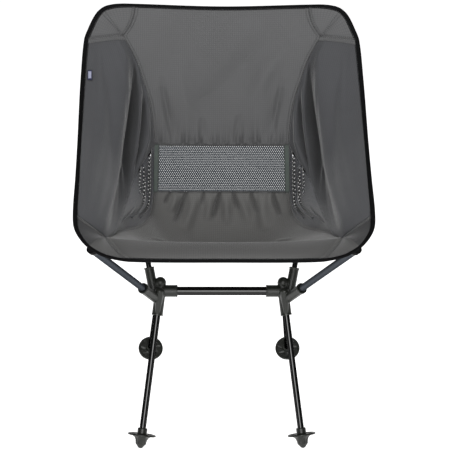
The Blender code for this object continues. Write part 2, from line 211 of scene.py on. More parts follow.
def tube_material(name, base, roughness, edge):
    """Anodised aluminium: long drawing lines and small scuffs; edge tints its rim."""
    n = Nodes(name)
    where = n.add("ShaderNodeTexCoord").outputs["UV"]
    drawn = n.add("ShaderNodeMapping", Vector=where, Scale=(900.0, 6.0, 1.0))
    lines = noise(n, 1.0, 3.0, vector=drawn.outputs[0])
    scuffs = noise(n, 180.0, 5.0, 0.7)
    worn = n.math("GREATER_THAN", scuffs, 0.735)
    colour = n.mix(lines, shade(base, 0.8), shade(base, 1.25))
    colour = n.mix(n.math("MULTIPLY", worn, 0.35), colour, shade(base, 3.0))
    rough = n.math("ADD", roughness, n.math("MULTIPLY", lines, 0.06))
    rough = n.math("ADD", rough, n.math("MULTIPLY", worn, 0.10))
    return n.finish(Base_Color=colour, Roughness=rough, Metallic=1.0,
                    Specular_Tint=rgb(edge, edge, edge), Normal=n.bump(lines, 0.04, 0.0001))


def plastic_material(name, base):
    """Moulded glass-filled nylon: fine spark texture and paler, rubbed high spots."""
    n = Nodes(name)
    grain = noise(n, 1400.0, 2.0)
    flow = noise(n, 45.0, 3.0)
    edge = n.add("ShaderNodeNewGeometry").outputs["Pointiness"]
    rubbed = n.math("MULTIPLY", n.math("SUBTRACT", edge, 0.53), 6.0, clamp=True)
    colour = n.mix(flow, shade(base, 0.8), shade(base, 1.2))
    colour = n.mix(rubbed, colour, shade(base, 2.2))
    rough = n.math("ADD", 0.32, n.math("MULTIPLY", grain, 0.14))
    return n.finish(Base_Color=colour, Roughness=rough, Normal=n.bump(grain, 0.25, 0.00015),
                    Specular_IOR_Level=0.3)


def plain_aluminium_material():
    n = Nodes("drawn_aluminium")
    lines = noise(n, 300.0, 3.0)
    colour = n.mix(lines, rgb(0.5, 0.5, 0.52), rgb(0.68, 0.68, 0.70))
    rough = n.math("ADD", 0.25, n.math("MULTIPLY", lines, 0.15))
    return n.finish(Base_Color=colour, Metallic=1.0, Roughness=rough)


BRAID_YARNS = 8.0          # each way round the cord
BRAID_LAY = 0.006          # along the cord, for one turn of a yarn


def cord_material():
    """Braided sheath: two crossing diagonal yarns with a pale fleck."""
    n = Nodes("elastic_braid")
    uv = n.add("ShaderNodeTexCoord").outputs["UV"]
    parts = n.add("ShaderNodeSeparateXYZ", Vector=uv)
    around = n.math("MULTIPLY", parts.outputs[0], BRAID_YARNS)
    along = n.math("MULTIPLY", parts.outputs[1], BRAID_YARNS / BRAID_LAY)
    left, right = (n.waves(n.math(way, around, along), 1.0) for way in ("ADD", "SUBTRACT"))
    flecks = n.math("GREATER_THAN", left, 0.8)
    colour = n.mix(flecks, rgb(0.012, 0.012, 0.012), rgb(0.10, 0.10, 0.10))
    return n.finish(Base_Color=colour, Roughness=0.85,
                    Normal=n.bump(n.math("MAXIMUM", left, right), 0.8, 0.0003))


TAG_WIDTH, TAG_LENGTH = 0.0092, 0.0205
TAG_MIDDLE = (0.0027, 0.0074)    # half the width and half the length of its pale middle


def tag_material():
    """Blank woven tag: pale middle with a plain dark blue border."""
    n = Nodes("woven_tag")
    u, v = n.weave_uv()
    up = n.math("ABSOLUTE", n.math("SUBTRACT", v, TAG_LENGTH / 2))
    middle = n.math("MULTIPLY", n.math("LESS_THAN", n.math("ABSOLUTE", u), TAG_MIDDLE[0]),
                    n.math("LESS_THAN", up, TAG_MIDDLE[1]))
    colour = n.mix(middle, rgb(0.008, 0.010, 0.035), rgb(0.22, 0.23, 0.31))
    return n.finish(Base_Color=colour, Roughness=0.75,
                    Normal=n.bump(n.waves(v, 0.0005), 0.4, 0.0002))


MATERIALS = {
    "gloss_black_tube": tube_material("gloss_black_anodised", (0.024, 0.024, 0.024), 0.05, 0.06),
    "satin_grey_tube": tube_material("satin_grey_anodised", (0.068, 0.074, 0.083), 0.36, 0.30),
    "bare_aluminium": plain_aluminium_material(),
    "olive_plastic": plastic_material("hub_nylon", (0.0070, 0.0080, 0.0062)),
    "elastic_cord": cord_material(),
    "grey_ripstop": ripstop_material("ripstop_back", (0.064, 0.064, 0.065),
                                     (0.062, 0.063, 0.065), 0.9),
    # a darker copy of the seat's cloth, painted shade on the lip; the front patches are made of it
    # too
    "lip_ripstop": ripstop_material("ripstop_lip", (0.0475, 0.0470, 0.0460),
                                    (0.0470, 0.0465, 0.0460), 1.0),
    "seat_ripstop": ripstop_material("ripstop_seat", (0.077, 0.076, 0.073),
                                     (0.076, 0.075, 0.073), 0.9),
    "side_ripstop": ripstop_material("ripstop_side", (0.037, 0.038, 0.041),
                                     (0.036, 0.037, 0.041), 2.4),
    # painted shade: a near-black copy of the ripstop for the front patches' upper facets
    "facet_shade_ripstop": ripstop_material("ripstop_facet_shade", (0.0165, 0.0165, 0.0175),
                                     (0.0160, 0.0160, 0.0175), 1.3),
    "grey_mesh": net_material("mesh_yarn", (0.0215, 0.0270, 0.0335)),
    "gusset_mesh": net_material("gusset_yarn", (0.0260, 0.0280, 0.0350), 2.6),
    "black_webbing": webbing_material("grosgrain_tape", (0.0022, 0.0022, 0.0024)),
    "knit_tape": webbing_material("knit_tape", (0.0480, 0.0570, 0.0520)),
    "thread": net_material("sewing_thread", (0.012, 0.012, 0.013)),
    "tag_cloth": tag_material(),
}


# ==== Mesh helpers ====================================================================
SAME_PLACE = 1e-6          # points closer than this are one point


def link(obj):
    bpy.context.scene.collection.objects.link(obj)
    return obj


def place(obj, look, body="frame", replaces=()):
    """Give a piece its material and its body, and hide the nodes it stands for."""
    obj.data.materials.clear()
    obj.data.materials.append(MATERIALS[look])
    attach(obj, body)
    if replaces:
        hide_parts(*replaces)
    return obj


def smooth(mesh, angle):
    mesh.shade_smooth()
    mesh.set_sharp_from_angle(angle=math.radians(angle))


def apply_modifiers(obj):
    """Bake the modifier stack into the mesh."""
    graph = bpy.context.evaluated_depsgraph_get()
    graph.update()
    baked = bpy.data.meshes.new_from_object(obj.evaluated_get(graph))
    old = obj.data
    obj.modifiers.clear()
    obj.data = baked
    bpy.data.meshes.remove(old)


def axis_frame(origin, axis):
    """Matrix that takes local +Z to the axis and local 0 to the origin."""
    turn = Vector(axis).to_track_quat("Z", "Y").to_matrix().to_4x4()
    return Matrix.Translation(origin) @ turn


def node_points(node):
    data = frame["nodes"][node].data
    points = np.zeros(len(data.vertices) * 3, np.float32)
    data.vertices.foreach_get("co", points)
    return points.reshape(-1, 3).astype(float)


def node_axis(node, towards):
    """A straight node's two ends on its axis, the end nearer `towards` last, and its radius."""
    points = node_points(node)
    low, high = points.min(0), points.max(0)
    middle = (low + high) / 2
    direction = np.linalg.svd(points - points.mean(0), full_matrices=False)[2][0]
    reach = (points - middle) @ direction
    around = points - middle - np.outer(reach, direction)
    centre = middle + (around.min(0) + around.max(0)) / 2
    radius = np.linalg.norm(points - centre - np.outer((points - centre) @ direction, direction),
                            axis=1).max()
    ends = [Vector(centre + direction * reach.min()), Vector(centre + direction * reach.max())]
    ends.sort(key=lambda p: -(p - Vector(towards)).length)
    return ends[0], ends[1], float(radius)


def weld(mesh):
    work = bmesh.new()
    work.from_mesh(mesh)
    bmesh.ops.remove_doubles(work, verts=work.verts, dist=SAME_PLACE)
    bmesh.ops.recalc_face_normals(work, faces=work.faces)
    work.to_mesh(mesh)
    work.free()


def turned_mesh(name, profile, sides=48, shape=None, angle=40):
    """Turn (radius, z) points about Z, top to bottom. shape(radius, z, angle) moves a point."""
    verts, faces, rings, down = [], [], [], []
    length = 0.0
    for i, (radius, z) in enumerate(profile):
        if i:
            length += math.hypot(radius - profile[i - 1][0], z - profile[i - 1][1])
        down.append(length)
        if radius == 0:
            rings.append([len(verts)])
            verts.append((0, 0, z))
            continue
        ring = []
        for k in range(sides):
            a = 2 * math.pi * k / sides
            r, height = shape(radius, z, a) if shape else (radius, z)
            ring.append(len(verts))
            verts.append((r * math.cos(a), r * math.sin(a), height))
        rings.append(ring)
    corners = []
    for a, b, high, low in zip(rings, rings[1:], down, down[1:]):
        for k in range(sides):
            m = (k + 1) % sides
            left, right = k / sides, (k + 1) / sides
            if len(a) == 1:
                faces.append((a[0], b[k], b[m]))
                corners += [(left, high), (left, low), (right, low)]
            elif len(b) == 1:
                faces.append((a[k], b[0], a[m]))
                corners += [(left, high), (left, low), (right, high)]
            else:
                faces.append((a[k], b[k], b[m], a[m]))
                corners += [(left, high), (left, low), (right, low), (right, high)]
    mesh = bpy.data.meshes.new(name)
    mesh.from_pydata(verts, [], faces)
    for loop, uv in zip(mesh.uv_layers.new(name="metres").data, corners):
        loop.uv = uv
    weld(mesh)
    smooth(mesh, angle)
    return mesh


def closed_profile(points):
    """A ring-shaped piece's profile, closed back to its first point."""
    return [*points, points[0]]


# ==== Poles, cords and ferrules =======================================================
LIP = 0.0004               # rounded edge at a tube's end


def tube_piece(node, look, wall=0.0009):
    """A drawn tube with softened ends, in place of the node's faceted one."""
    start, end, radius = node_axis(node, (0, 0, 0))
    length = (end - start).length
    inner = radius - wall
    profile = closed_profile([
        (radius - LIP, length), (radius, length - LIP), (radius, LIP), (radius - LIP, 0),
        (inner + LIP * 0.5, 0), (inner, LIP), (inner, length - LIP), (inner + LIP * 0.5, length)])
    obj = link(bpy.data.objects.new(f"{node}_tube", turned_mesh(node, profile, angle=30)))
    obj.matrix_world = axis_frame(start, end - start)
    place(obj, look, BODY_OF[node], [node])


def cord_piece(node):
    start, end, radius = node_axis(node, (0, 0, 0))
    length = (end - start).length
    profile = [(0, length), (radius * 0.8, length), (radius, length - 0.0003), (radius, 0.0003),
               (radius * 0.8, 0), (0, 0)]
    obj = link(bpy.data.objects.new(f"{node}_braid", turned_mesh(node, profile, 20)))
    obj.matrix_world = axis_frame(start, end - start)
    place(obj, "elastic_cord", BODY_OF[node], [node])


def build_poles():
    tube_piece("crossbar", "gloss_black_tube", 0.0010)
    cord_piece("shock_cord_crossbar")
    for label in SIDES:
        for pole in (f"front_leg_{label}", f"rear_leg_{label}",
                     f"back_pole_lower_{label}", f"back_pole_upper_{label}"):
            tube_piece(pole, "gloss_black_tube")
        tube_piece(f"seat_pole_{label}", "satin_grey_tube")
        tube_piece(f"back_pole_ferrule_{label}", "bare_aluminium")
        for pole in ("front_leg", "rear_leg", "seat_pole", "back_pole"):
            cord_piece(f"shock_cord_{pole}_{label}")


# ==== Hubs, feet and pole tips ========================================================
HUB_X = 0.1075
HUB_CENTRE = {label: Vector((side * HUB_X, HUB_Y, HUB_Z)) for label, side in SIDES.items()}
# For each pole in a hub: how far its socket's rim stands out, and how long the rim is.
SOCKET_RIMS = {"front_leg": (0.0004, 0.0020), "rear_leg": (0.0004, 0.0020),
               "seat_pole": (0.0009, 0.0036), "back_pole_lower": (0.0007, 0.0020),
               "crossbar": (0.0003, 0.0016)}
BORE_SKIN = 0.0009         # keeps an added rim clear of the bore
# A socket's points on the hub: no further off the pole's surface, nor further along it.
SOCKET_WALL, SOCKET_REACH = 0.0065, 0.06


def add_to_hub(hub, mesh, start, axis):
    mesh.transform(axis_frame(start, axis))
    hub.from_mesh(mesh)
    bpy.data.meshes.remove(mesh)


def socket_rim(label, pole, hub_points, hub):
    """A ring round one socket's mouth."""
    node = pole if pole == "crossbar" else f"{pole}_{label}"
    far, near, radius = node_axis(node, HUB_CENTRE[label])
    axis = (far - near).normalized()
    reach = (hub_points - np.array(near)) @ np.array(axis)
    off = np.linalg.norm(hub_points - np.array(near) - np.outer(reach, np.array(axis)), axis=1)
    close = (off < radius + SOCKET_WALL) & (reach < SOCKET_REACH)
    mouth = reach[close].max()
    outer = off[close & (reach > mouth - 0.002)].max()
    extra, length = SOCKET_RIMS[pole]
    back = mouth - length * 1.6
    profile = closed_profile([(radius + BORE_SKIN, mouth), (outer + extra, mouth),
                              (outer + extra, mouth - length), (outer - 0.0003, back),
                              (radius + BORE_SKIN, back)])
    add_to_hub(hub, turned_mesh("rim", profile, 40), near, axis)


FIN_TOP_R, FIN_LOW_R = 0.0078, 0.0040
FIN_END = 0.0385           # along the leg, from the hub's centre
FIN_STEPS = 5


def hub_fin(label, hub):
    """A thick web down the front of the leg's socket, round the foot of the seat's socket."""
    far, near, _ = node_axis(f"front_leg_{label}", HUB_CENTRE[label])
    axis = (far - near).normalized()
    bottom = HUB_CENTRE[label] + axis * FIN_END + Vector((0, -0.0060, 0))
    for k in range(FIN_STEPS):
        share = k / (FIN_STEPS - 1)
        top = HUB_CENTRE[label] + Vector((0, -0.0045 - 0.0150 * share, 0.002 + 0.012 * share))
        length = (bottom - top).length
        dome = [(FIN_TOP_R * math.sin(a), FIN_TOP_R * 0.7 * (1 - math.cos(a)))
                for a in np.radians(range(15, 90, 15))]
        profile = [(0, 0), *dome, (FIN_TOP_R, FIN_TOP_R * 0.7), (FIN_LOW_R, length - 0.002),
                   (FIN_LOW_R - 0.0012, length), (0, length)]
        add_to_hub(hub, turned_mesh("fin", profile, 32), top, bottom - top)


HUB_VOXEL = 0.0006


def build_hub(label):
    """The moulded hub: the frame's sockets with flared rims, blended and softly rounded."""
    node = f"hub_{label}"
    points = node_points(node)
    work = bmesh.new()
    work.from_mesh(frame["nodes"][node].data)
    for pole in SOCKET_RIMS:
        socket_rim(label, pole, points, work)
    hub_fin(label, work)
    mesh = bpy.data.meshes.new(node)
    work.to_mesh(mesh)
    work.free()
    obj = link(bpy.data.objects.new(f"{node}_moulding", mesh))
    merge = obj.modifiers.new("merge", "REMESH")
    merge.mode = "VOXEL"
    merge.voxel_size = HUB_VOXEL
    soften = obj.modifiers.new("soften", "SMOOTH")
    soften.factor = 0.5
    soften.iterations = 4
    apply_modifiers(obj)
    obj.data.shade_smooth()
    place(obj, "olive_plastic", BODY_OF[node], [node])


def moulding(node, mesh, start, axis, angle):
    """A turned nylon piece that stands on start and points along the axis."""
    mesh.transform(axis_frame(start, axis))
    for vertex in mesh.vertices:
        vertex.co.z = max(vertex.co.z, 0.0)      # a foot's tip is worn flat where it stands
    smooth(mesh, angle)
    obj = link(bpy.data.objects.new(f"{node}_moulding", mesh))
    place(obj, "olive_plastic", BODY_OF[node], [node])


LEG_END_UP = 0.0113        # from the centre of the foot's round tip up to the tube's end
DISC_T = 0.0185            # height of the disc's upper face above the same centre
TIP_BALL_R = 0.0062
DISC_RECESSES = 8


def foot_profile():
    """Bore, collar, thin dished disc, bell down to a shoulder, and a round tip."""
    ball = [(TIP_BALL_R * math.cos(a), TIP_BALL_R * math.sin(a))
            for a in np.radians((-26, -42, -58, -74))]
    upper = [(r, DISC_T) for r in np.arange(0.0100, 0.0212, 0.0010)]
    return [(0, 0.0112), (0.0059, 0.0112), (0.0059, 0.0283), (0.0062, 0.0288), (0.0076, 0.0288),
            (0.0083, 0.0281), (0.0085, 0.0268), (0.0084, 0.0206), (0.0087, 0.0194), (0.0093, 0.0186),
            *upper, (0.0214, DISC_T + 0.0004), (0.0224, DISC_T + 0.0005), (0.0236, DISC_T + 0.0002),
            (0.0243, DISC_T - 0.0006), (0.0245, DISC_T - 0.0016), (0.0240, DISC_T - 0.0026),
            (0.0215, DISC_T - 0.0028), (0.0180, DISC_T - 0.0032), (0.0150, DISC_T - 0.0044),
            (0.0126, DISC_T - 0.0060), (0.0111, 0.0102), (0.0102, 0.0080), (0.0097, 0.0058),
            (0.0094, 0.0038), (0.0092, 0.0022), (0.0090, 0.0014), (0.0080, 0.0003),
            (0.0071, -0.0006), (0.0064, -0.0016), *ball, (0, -TIP_BALL_R)]


def foot_shape(radius, z, angle):
    """Swept recesses in the disc's upper face, and flat-sided ribs round the bell."""
    if abs(z - DISC_T) < 1e-6:
        sweep = math.sin(DISC_RECESSES * angle + 190.0 * (radius - 0.010))
        edge = math.sin(math.pi * min(max((radius - 0.0095) / 0.0115, 0.0), 1.0)) ** 0.5
        return radius, z - 0.0010 * edge * min(max(sweep * 2.0 + 0.3, 0.0), 1.0)
    if 0.0012 < z < DISC_T - 0.0030:
        groove = max(math.cos(6 * angle), 0.0) ** 0.7
        return radius * (1 - 0.085 * groove), z
    return radius, z


def build_foot(which, label):
    node = f"foot_{which}_{label}"
    low, high, _ = node_axis(f"{which}_leg_{label}", HUB_CENTRE[label])
    axis = (high - low).normalized()
    mesh = turned_mesh(node, foot_profile(), 96, foot_shape)
    moulding(node, mesh, low - axis * LEG_END_UP, axis, 38)


def build_tip(node, label):
    """Plug inside the tube, a collar with two grooves, and a round nose."""
    nose, plug, radius = node_axis(node, HUB_CENTRE[label])
    length = (nose - plug).length
    bore = radius - 0.0013
    collar = length - 0.016
    profile = [(0, length), (radius * 0.35, length - 0.0003), (radius * 0.68, length - 0.0014),
               (radius * 0.88, length - 0.0030), (radius * 0.93, length - 0.0050),
               (radius * 0.93, collar + 0.0052), (radius * 0.86, collar + 0.0048),
               (radius * 0.86, collar + 0.0042), (radius, collar + 0.0036), (radius, collar + 0.0008),
               (radius - 0.0003, collar + 0.0004), (bore, collar + 0.0004), (bore, 0.0006),
               (bore - 0.0006, 0), (0, 0)]
    moulding(node, turned_mesh(node, profile, 40), plug, nose - plug, 45)


def build_mouldings():
    for label in SIDES:
        build_hub(label)
        for which in ("front", "rear"):
            build_foot(which, label)
        for where in ("front", "back"):
            build_tip(f"pole_tip_{where}_{label}", label)


# ==== Sling: seam lines (right-hand side, metres, crossbar's axis at y = 0) ===========
FRONT_CORNER = (0.1862, -0.1700, 0.4074)
BACK_CORNER = (0.1746, 0.1680, 0.6650)
HEM_CENTRE = (0.0, -0.2150, 0.3866)
TOP_CENTRE = (0.0, 0.1830, 0.7113)
LUMBAR_LOW = (0.1211, 0.0950, 0.3984)
LUMBAR_HIGH = (0.1188, 0.1180, 0.4802)
LUMBAR_DEPTH = 0.011

SEAT_CENTRE = [(0, -0.180, 0.404), (0, -0.130, 0.372), (0, -0.050, 0.327), (0, 0.010, 0.311),
               (0, 0.060, 0.325), (0, 0.092, 0.356), (0, 0.106, 0.3949)]
SEAT_SEAM = [FRONT_CORNER, (0.1788, -0.110, 0.3957), (0.1641, -0.050, 0.3798),
             (0.1448, 0.000, 0.3689), (0.1335, 0.040, 0.3638), (0.1250, 0.078, 0.3700),
             LUMBAR_LOW]
MESH_LINE = [FRONT_CORNER, (0.1752, -0.140, 0.4069), (0.1676, -0.060, 0.4092),
             (0.1631, 0.000, 0.4162), (0.1518, 0.060, 0.4375), LUMBAR_HIGH]
BACK_SEAM = [LUMBAR_HIGH, (0.1263, 0.137, 0.5464), (0.1394, 0.148, 0.5887),
             (0.1530, 0.156, 0.6265), BACK_CORNER]
BACK_CENTRE = [(0, 0.129, 0.4767), (0, 0.158, 0.580), TOP_CENTRE]
BACK_CORNER_RISE = 0.78    # of the back's height at its middle, level with the corner seams
FRONT_EDGE = [(0.1500, -0.2215, 0.3902), (0.1778, -0.2255, 0.3966), (0.1945, -0.2265, 0.4042),
              (0.2138, -0.2160, 0.4156), (0.2284, -0.1980, 0.4310), (0.2324, -0.1750, 0.4477)]
SIDE_EDGE = [FRONT_EDGE[-1], (0.2344, -0.1100, 0.4840), (0.2386, 0.0150, 0.5507),
             (0.2402, 0.0950, 0.6010), (0.2382, 0.1620, 0.6585)]
TOP_EDGE = [SIDE_EDGE[-1], (0.2325, 0.1740, 0.6736), (0.2203, 0.1810, 0.6966),
            (0.2078, 0.1835, 0.7085), (0.1930, 0.1850, 0.7132), (0.1740, 0.1860, 0.7150),
            (0.1535, 0.1860, 0.7148)]


# How far the patches' curved seams are pushed aside at their middles.
FRONT_SEAM_PUSH = (0.0022, 0.0, 0.0)
BACK_SEAM_PUSH = (-0.0045, 0.0, -0.0015)


def mirrored(point):
    return (-point[0], point[1], point[2])


# The whole rim on one smooth line, past the middle at both ends so that it stays level there.
RIM = [mirrored(FRONT_EDGE[0]), HEM_CENTRE, *FRONT_EDGE, *SIDE_EDGE[1:], *TOP_EDGE[1:],
       TOP_CENTRE, mirrored(TOP_EDGE[-1])]
HEM_MIDDLE, HEM_END, FRONT_END = 1, 2, 1 + len(FRONT_EDGE)
SIDE_END = FRONT_END + len(SIDE_EDGE) - 1
TOP_END = SIDE_END + len(TOP_EDGE) - 1
TOP_MIDDLE = TOP_END + 1


def curve(points, t, first=0, last=None):
    """Smooth curve through points: t = 0..1 is the chord length from point first to last."""
    p = np.array(points, float)
    chords = np.linalg.norm(np.diff(p, axis=0), axis=1)
    ends = np.concatenate([[0.0], np.cumsum(chords)])
    slopes = np.empty_like(p)
    slopes[0] = (p[1] - p[0]) / chords[0]
    slopes[-1] = (p[-1] - p[-2]) / chords[-1]
    slopes[1:-1] = (p[2:] - p[:-2]) / (chords[:-1] + chords[1:])[:, None]
    stop = ends[last] if last is not None else ends[-1]
    reach = ends[first] + np.asarray(t, float) * (stop - ends[first])
    i = np.clip(np.searchsorted(ends, reach, side="right") - 1, 0, len(chords) - 1)
    s = ((reach - ends[i]) / chords[i])[..., None]
    h = chords[i][..., None]
    return (p[i] * (2 * s**3 - 3 * s**2 + 1) + slopes[i] * h * (s**3 - 2 * s**2 + s)
            + p[i + 1] * (3 * s**2 - 2 * s**3) + slopes[i + 1] * h * (s**3 - s**2))


def length_of(points):
    return float(np.linalg.norm(np.diff(np.array(points, float), axis=0), axis=1).sum())


def chain(lines, t):
    """Points at t = 0..1 along several curves that meet end to end with a corner."""
    lengths = np.array([length_of(line) for line in lines])
    starts = np.concatenate([[0.0], np.cumsum(lengths)])
    t = np.asarray(t, float) * starts[-1]
    out = np.zeros((*t.shape, 3))
    for line, low, size in zip(lines, starts, lengths):
        here = (t >= low - SAME_PLACE) & (t <= low + size + SAME_PLACE)
        out[here] = curve(line, np.clip((t[here] - low) / size, 0, 1))
    return out


def bulged(start, end, push, count):
    """Points from start to end, pushed aside by `push` at the middle as an arc."""
    t = np.linspace(0, 1, count)[:, None]
    return (1 - t) * np.array(start) + t * np.array(end) + 4 * t * (1 - t) * np.array(push)


# ==== Sling: sheets as grids of points, rows x columns ================================
CLOTH = 0.0008
SITTER = np.array((0.0, -0.9, 0.45))    # the side of the cloth that the sitter touches


def unit_rows(v):
    return v / np.maximum(np.linalg.norm(v, axis=-1, keepdims=True), 1e-12)


def grid_normals(sheet):
    along = np.gradient(sheet, axis=0)
    across = np.gradient(sheet, axis=1)
    n = unit_rows(np.cross(across, along))
    return n if (n @ SITTER).mean() > 0 else -n


def metric(sheet):
    """Each point's place in metres: across its row from the middle, and up the sheet."""
    across = np.linalg.norm(np.diff(sheet, axis=1), axis=2)
    u = np.concatenate([np.zeros((len(sheet), 1)), np.cumsum(across, axis=1)], axis=1)
    u -= u[:, [sheet.shape[1] // 2]]
    along = np.linalg.norm(np.diff(sheet, axis=0), axis=2).mean(axis=1)
    v = np.concatenate([[0.0], np.cumsum(along)])
    return u, np.repeat(v[:, None], sheet.shape[1], axis=1)


def fold(u, v, start, end, width, height):
    """A ridge (height > 0) or furrow from start to end, fading at both ends."""
    a, b = np.array(start), np.array(end)
    size = np.linalg.norm(b - a)
    d = (b - a) / size
    q = ((u - a[0]) * d[0] + (v - a[1]) * d[1]) / size
    off = (u - a[0]) * d[1] - (v - a[1]) * d[0]
    fade = np.clip(np.sin(np.pi * np.clip(q, 0, 1)), 0, 1) ** 0.6
    return height * fade * np.exp(-np.abs(off / width) ** 2.0)


def wave(rng, u, size, count):
    """Soft seeded ripples along u, of about the given wavelength."""
    out = np.zeros_like(u)
    for _ in range(count):
        out += np.sin(2 * np.pi * u / (size * rng.uniform(0.7, 1.4)) + rng.uniform(0, 6.28))
    return out / count


def lift(sheet, height):
    """The grid, moved off the cloth by a height at each point or by the same one everywhere."""
    return sheet + grid_normals(sheet) * np.asarray(height)[..., None]


def to_mesh(name, verts, faces, uvs=None):
    mesh = bpy.data.meshes.new(name)
    mesh.from_pydata([tuple(p) for p in verts], [], [tuple(int(i) for i in f) for f in faces])
    if uvs is not None:
        layer = mesh.uv_layers.new(name="metres")
        index = np.zeros(len(mesh.loops), np.int32)
        mesh.loops.foreach_get("vertex_index", index)
        layer.data.foreach_set("uv", np.asarray(uvs, np.float32)[index].ravel())
    return mesh


def grid_faces(rows, columns):
    r, c = np.meshgrid(np.arange(rows - 1), np.arange(columns - 1), indexing="ij")
    a = (r * columns + c).ravel()
    return np.stack([a, a + 1, a + columns + 1, a + columns], axis=1)


def finish_sheet(obj, thickness, look, replaces):
    """Thicken a sheet evenly on both sides, give it its material and attach it to the frame's body.
    """
    solid = obj.modifiers.new("cloth", "SOLIDIFY")
    solid.thickness = thickness
    solid.offset = 0.0
    solid.use_even_offset = False
    apply_modifiers(obj)
    obj.data.shade_smooth()
    return place(obj, look, replaces=replaces)


def grid_sheet(name, sheet, look, replaces=(), thickness=CLOTH):
    """A closed cloth piece whose middle surface is the given grid."""
    u, v = metric(sheet)
    mesh = to_mesh(name, (sheet + TO_WORLD).reshape(-1, 3), grid_faces(*sheet.shape[:2]),
                   np.stack([u.ravel(), v.ravel()], axis=1))
    obj = link(bpy.data.objects.new(name, mesh))
    return finish_sheet(obj, thickness, look, replaces)


def side_path(sheet, edge, inset):
    """The line `inset` metres in from one edge of the grid, and the cloth's normals on it.

    A negative inset runs straight on past the edge.
    """
    end, kind = edge.split("_")
    turned = [A.transpose(1, 0, 2) if kind == "col" else A for A in (sheet, grid_normals(sheet))]
    grid, normals = (A if end == "first" else A[::-1] for A in turned)
    gaps = np.linalg.norm(np.diff(grid, axis=0), axis=2)
    reach = np.concatenate([np.zeros((1, grid.shape[1])), np.cumsum(gaps, axis=0)])
    line = np.empty((grid.shape[1], 3))
    facing = np.empty_like(line)
    for k in range(grid.shape[1]):
        at = min(inset, reach[-1, k] * 0.5)
        if at < 0:
            line[k] = grid[0, k] + unit_rows(grid[0, k] - grid[1, k]) * -at
            facing[k] = normals[0, k]
            continue
        for axis in range(3):
            line[k, axis] = np.interp(at, reach[:, k], grid[:, k, axis])
            facing[k, axis] = np.interp(at, reach[:, k], normals[:, k, axis])
    return line, unit_rows(facing)


def edge_band(name, sheet, edge, width, look, raised, thickness=0.0005, start=0.0):
    """A flat strip of cloth sewn along one edge of a sheet, on its face or behind it."""
    rows = []
    for inset in np.linspace(start, start + width, 5):
        line, facing = side_path(sheet, edge, inset)
        rows.append(line + facing * raised)
    return grid_sheet(name, np.array(rows), look, thickness=thickness)


def seam_bands(name, sheet, look):
    """The felled allowance on a panel's two side seams, and the one that backs the joint."""
    out = []
    for side, edge in (("left", "first_col"), ("right", "last_col")):
        out.append(edge_band(f"{name}_{side}", sheet, edge, 0.0055, look, 0.0006))
        out.append(edge_band(f"{name}_backing_{side}", sheet, edge, 0.0095, look, -0.0009,
                             start=-0.0040))
    return out


def reach_along(line):
    """Each point's distance from the line's start, along it."""
    return np.concatenate([[0.0], np.cumsum(np.linalg.norm(np.diff(line, axis=0), axis=1))])


def between_points(at, reach, values):
    return np.stack([np.interp(at, reach, values[:, k]) for k in range(3)], axis=1)


STITCH_HEIGHT = 0.0004


def stitches(name, runs, pitch=0.0034, size=0.0024, width=0.00055):
    """Rows of lock stitches; each run is a line of points with the cloth's normals."""
    verts, faces = [], []
    for line, facing in runs:
        reach = reach_along(line)
        count = max(2, int(reach[-1] / pitch))
        at = (np.arange(count) + 0.5) * reach[-1] / count
        spot = between_points(at, reach, line)
        up = unit_rows(between_points(at, reach, facing))
        along = unit_rows(np.gradient(spot, axis=0))
        side = np.cross(along, up)
        for p, a, s, n in zip(spot, along, side, up):
            first = len(verts)
            for tall, long, wide in ((-0.3, 0.5, 0.5), (0.6, 0.42, 0.42), (1.0, 0.25, 0.15)):
                for i, j in ((-1, -1), (1, -1), (1, 1), (-1, 1)):
                    verts.append(p + a * (i * size * long) + s * (j * width * wide)
                                 + n * (tall * STITCH_HEIGHT))
            for k in (0, 4):
                b = first + k
                faces += [(b + m, b + (m + 1) % 4, b + 4 + (m + 1) % 4, b + 4 + m)
                          for m in range(4)]
            faces += [(first + 3, first + 2, first + 1, first), tuple(range(first + 8, first + 12))]
    smooth_piece(name, to_mesh(name, np.array(verts) + TO_WORLD, faces), "thread")


def smooth_piece(name, mesh, look, replaces=()):
    """A closed piece of webbing or thread that rides on the frame."""
    weld(mesh)
    mesh.shade_smooth()
    place(link(bpy.data.objects.new(name, mesh)), look, replaces=replaces)


def edge_stitches(name, sheet, up, runs, **sizes):
    """Rows of stitches that lie `up` off the sheet; each run is (edge, how far in from it)."""
    raised = lift(sheet, up)
    stitches(name, [side_path(raised, edge, inset) for edge, inset in runs], **sizes)


COLUMN_EDGES = ("first_col", "last_col")
ROW_EDGES = ("first_row", "last_row")


def both_sides(sheet):
    """The right-hand grid, and its mirror image with the rows kept."""
    other = sheet.copy()
    other[..., 0] *= -1
    return {"right": sheet, "left": other}


# ---- nets --------------------------------------------------------------------------
NET_PITCH = 0.0036         # between holes along a row; every other row is shifted by half
NET_ROW = 0.0031
# A hole's corners, as shares of its cell's: its two tips, its shoulders and its sides.
HOLE_TIP, HOLE_SHOULDER, HOLE_SIDE = 0.336, 0.186, 0.33
HOLE_ROOM = 0.9            # a cell closer to the edge than this share of half a pitch stays whole
NET_THICKNESS = 0.00080


def sample(sheet, t, v):
    """The grid's surface at t = 0..1 up its rows and v = 0..1 across its columns."""
    rows, columns = sheet.shape[:2]
    y = np.clip(t, 0, 1) * (rows - 1)
    x = np.clip(v, 0, 1) * (columns - 1)
    r = np.minimum(y.astype(int), rows - 2)
    c = np.minimum(x.astype(int), columns - 2)
    fy, fx = (y - r)[:, None], (x - c)[:, None]
    return ((1 - fy) * ((1 - fx) * sheet[r, c] + fx * sheet[r, c + 1])
            + fy * ((1 - fx) * sheet[r + 1, c] + fx * sheet[r + 1, c + 1]))


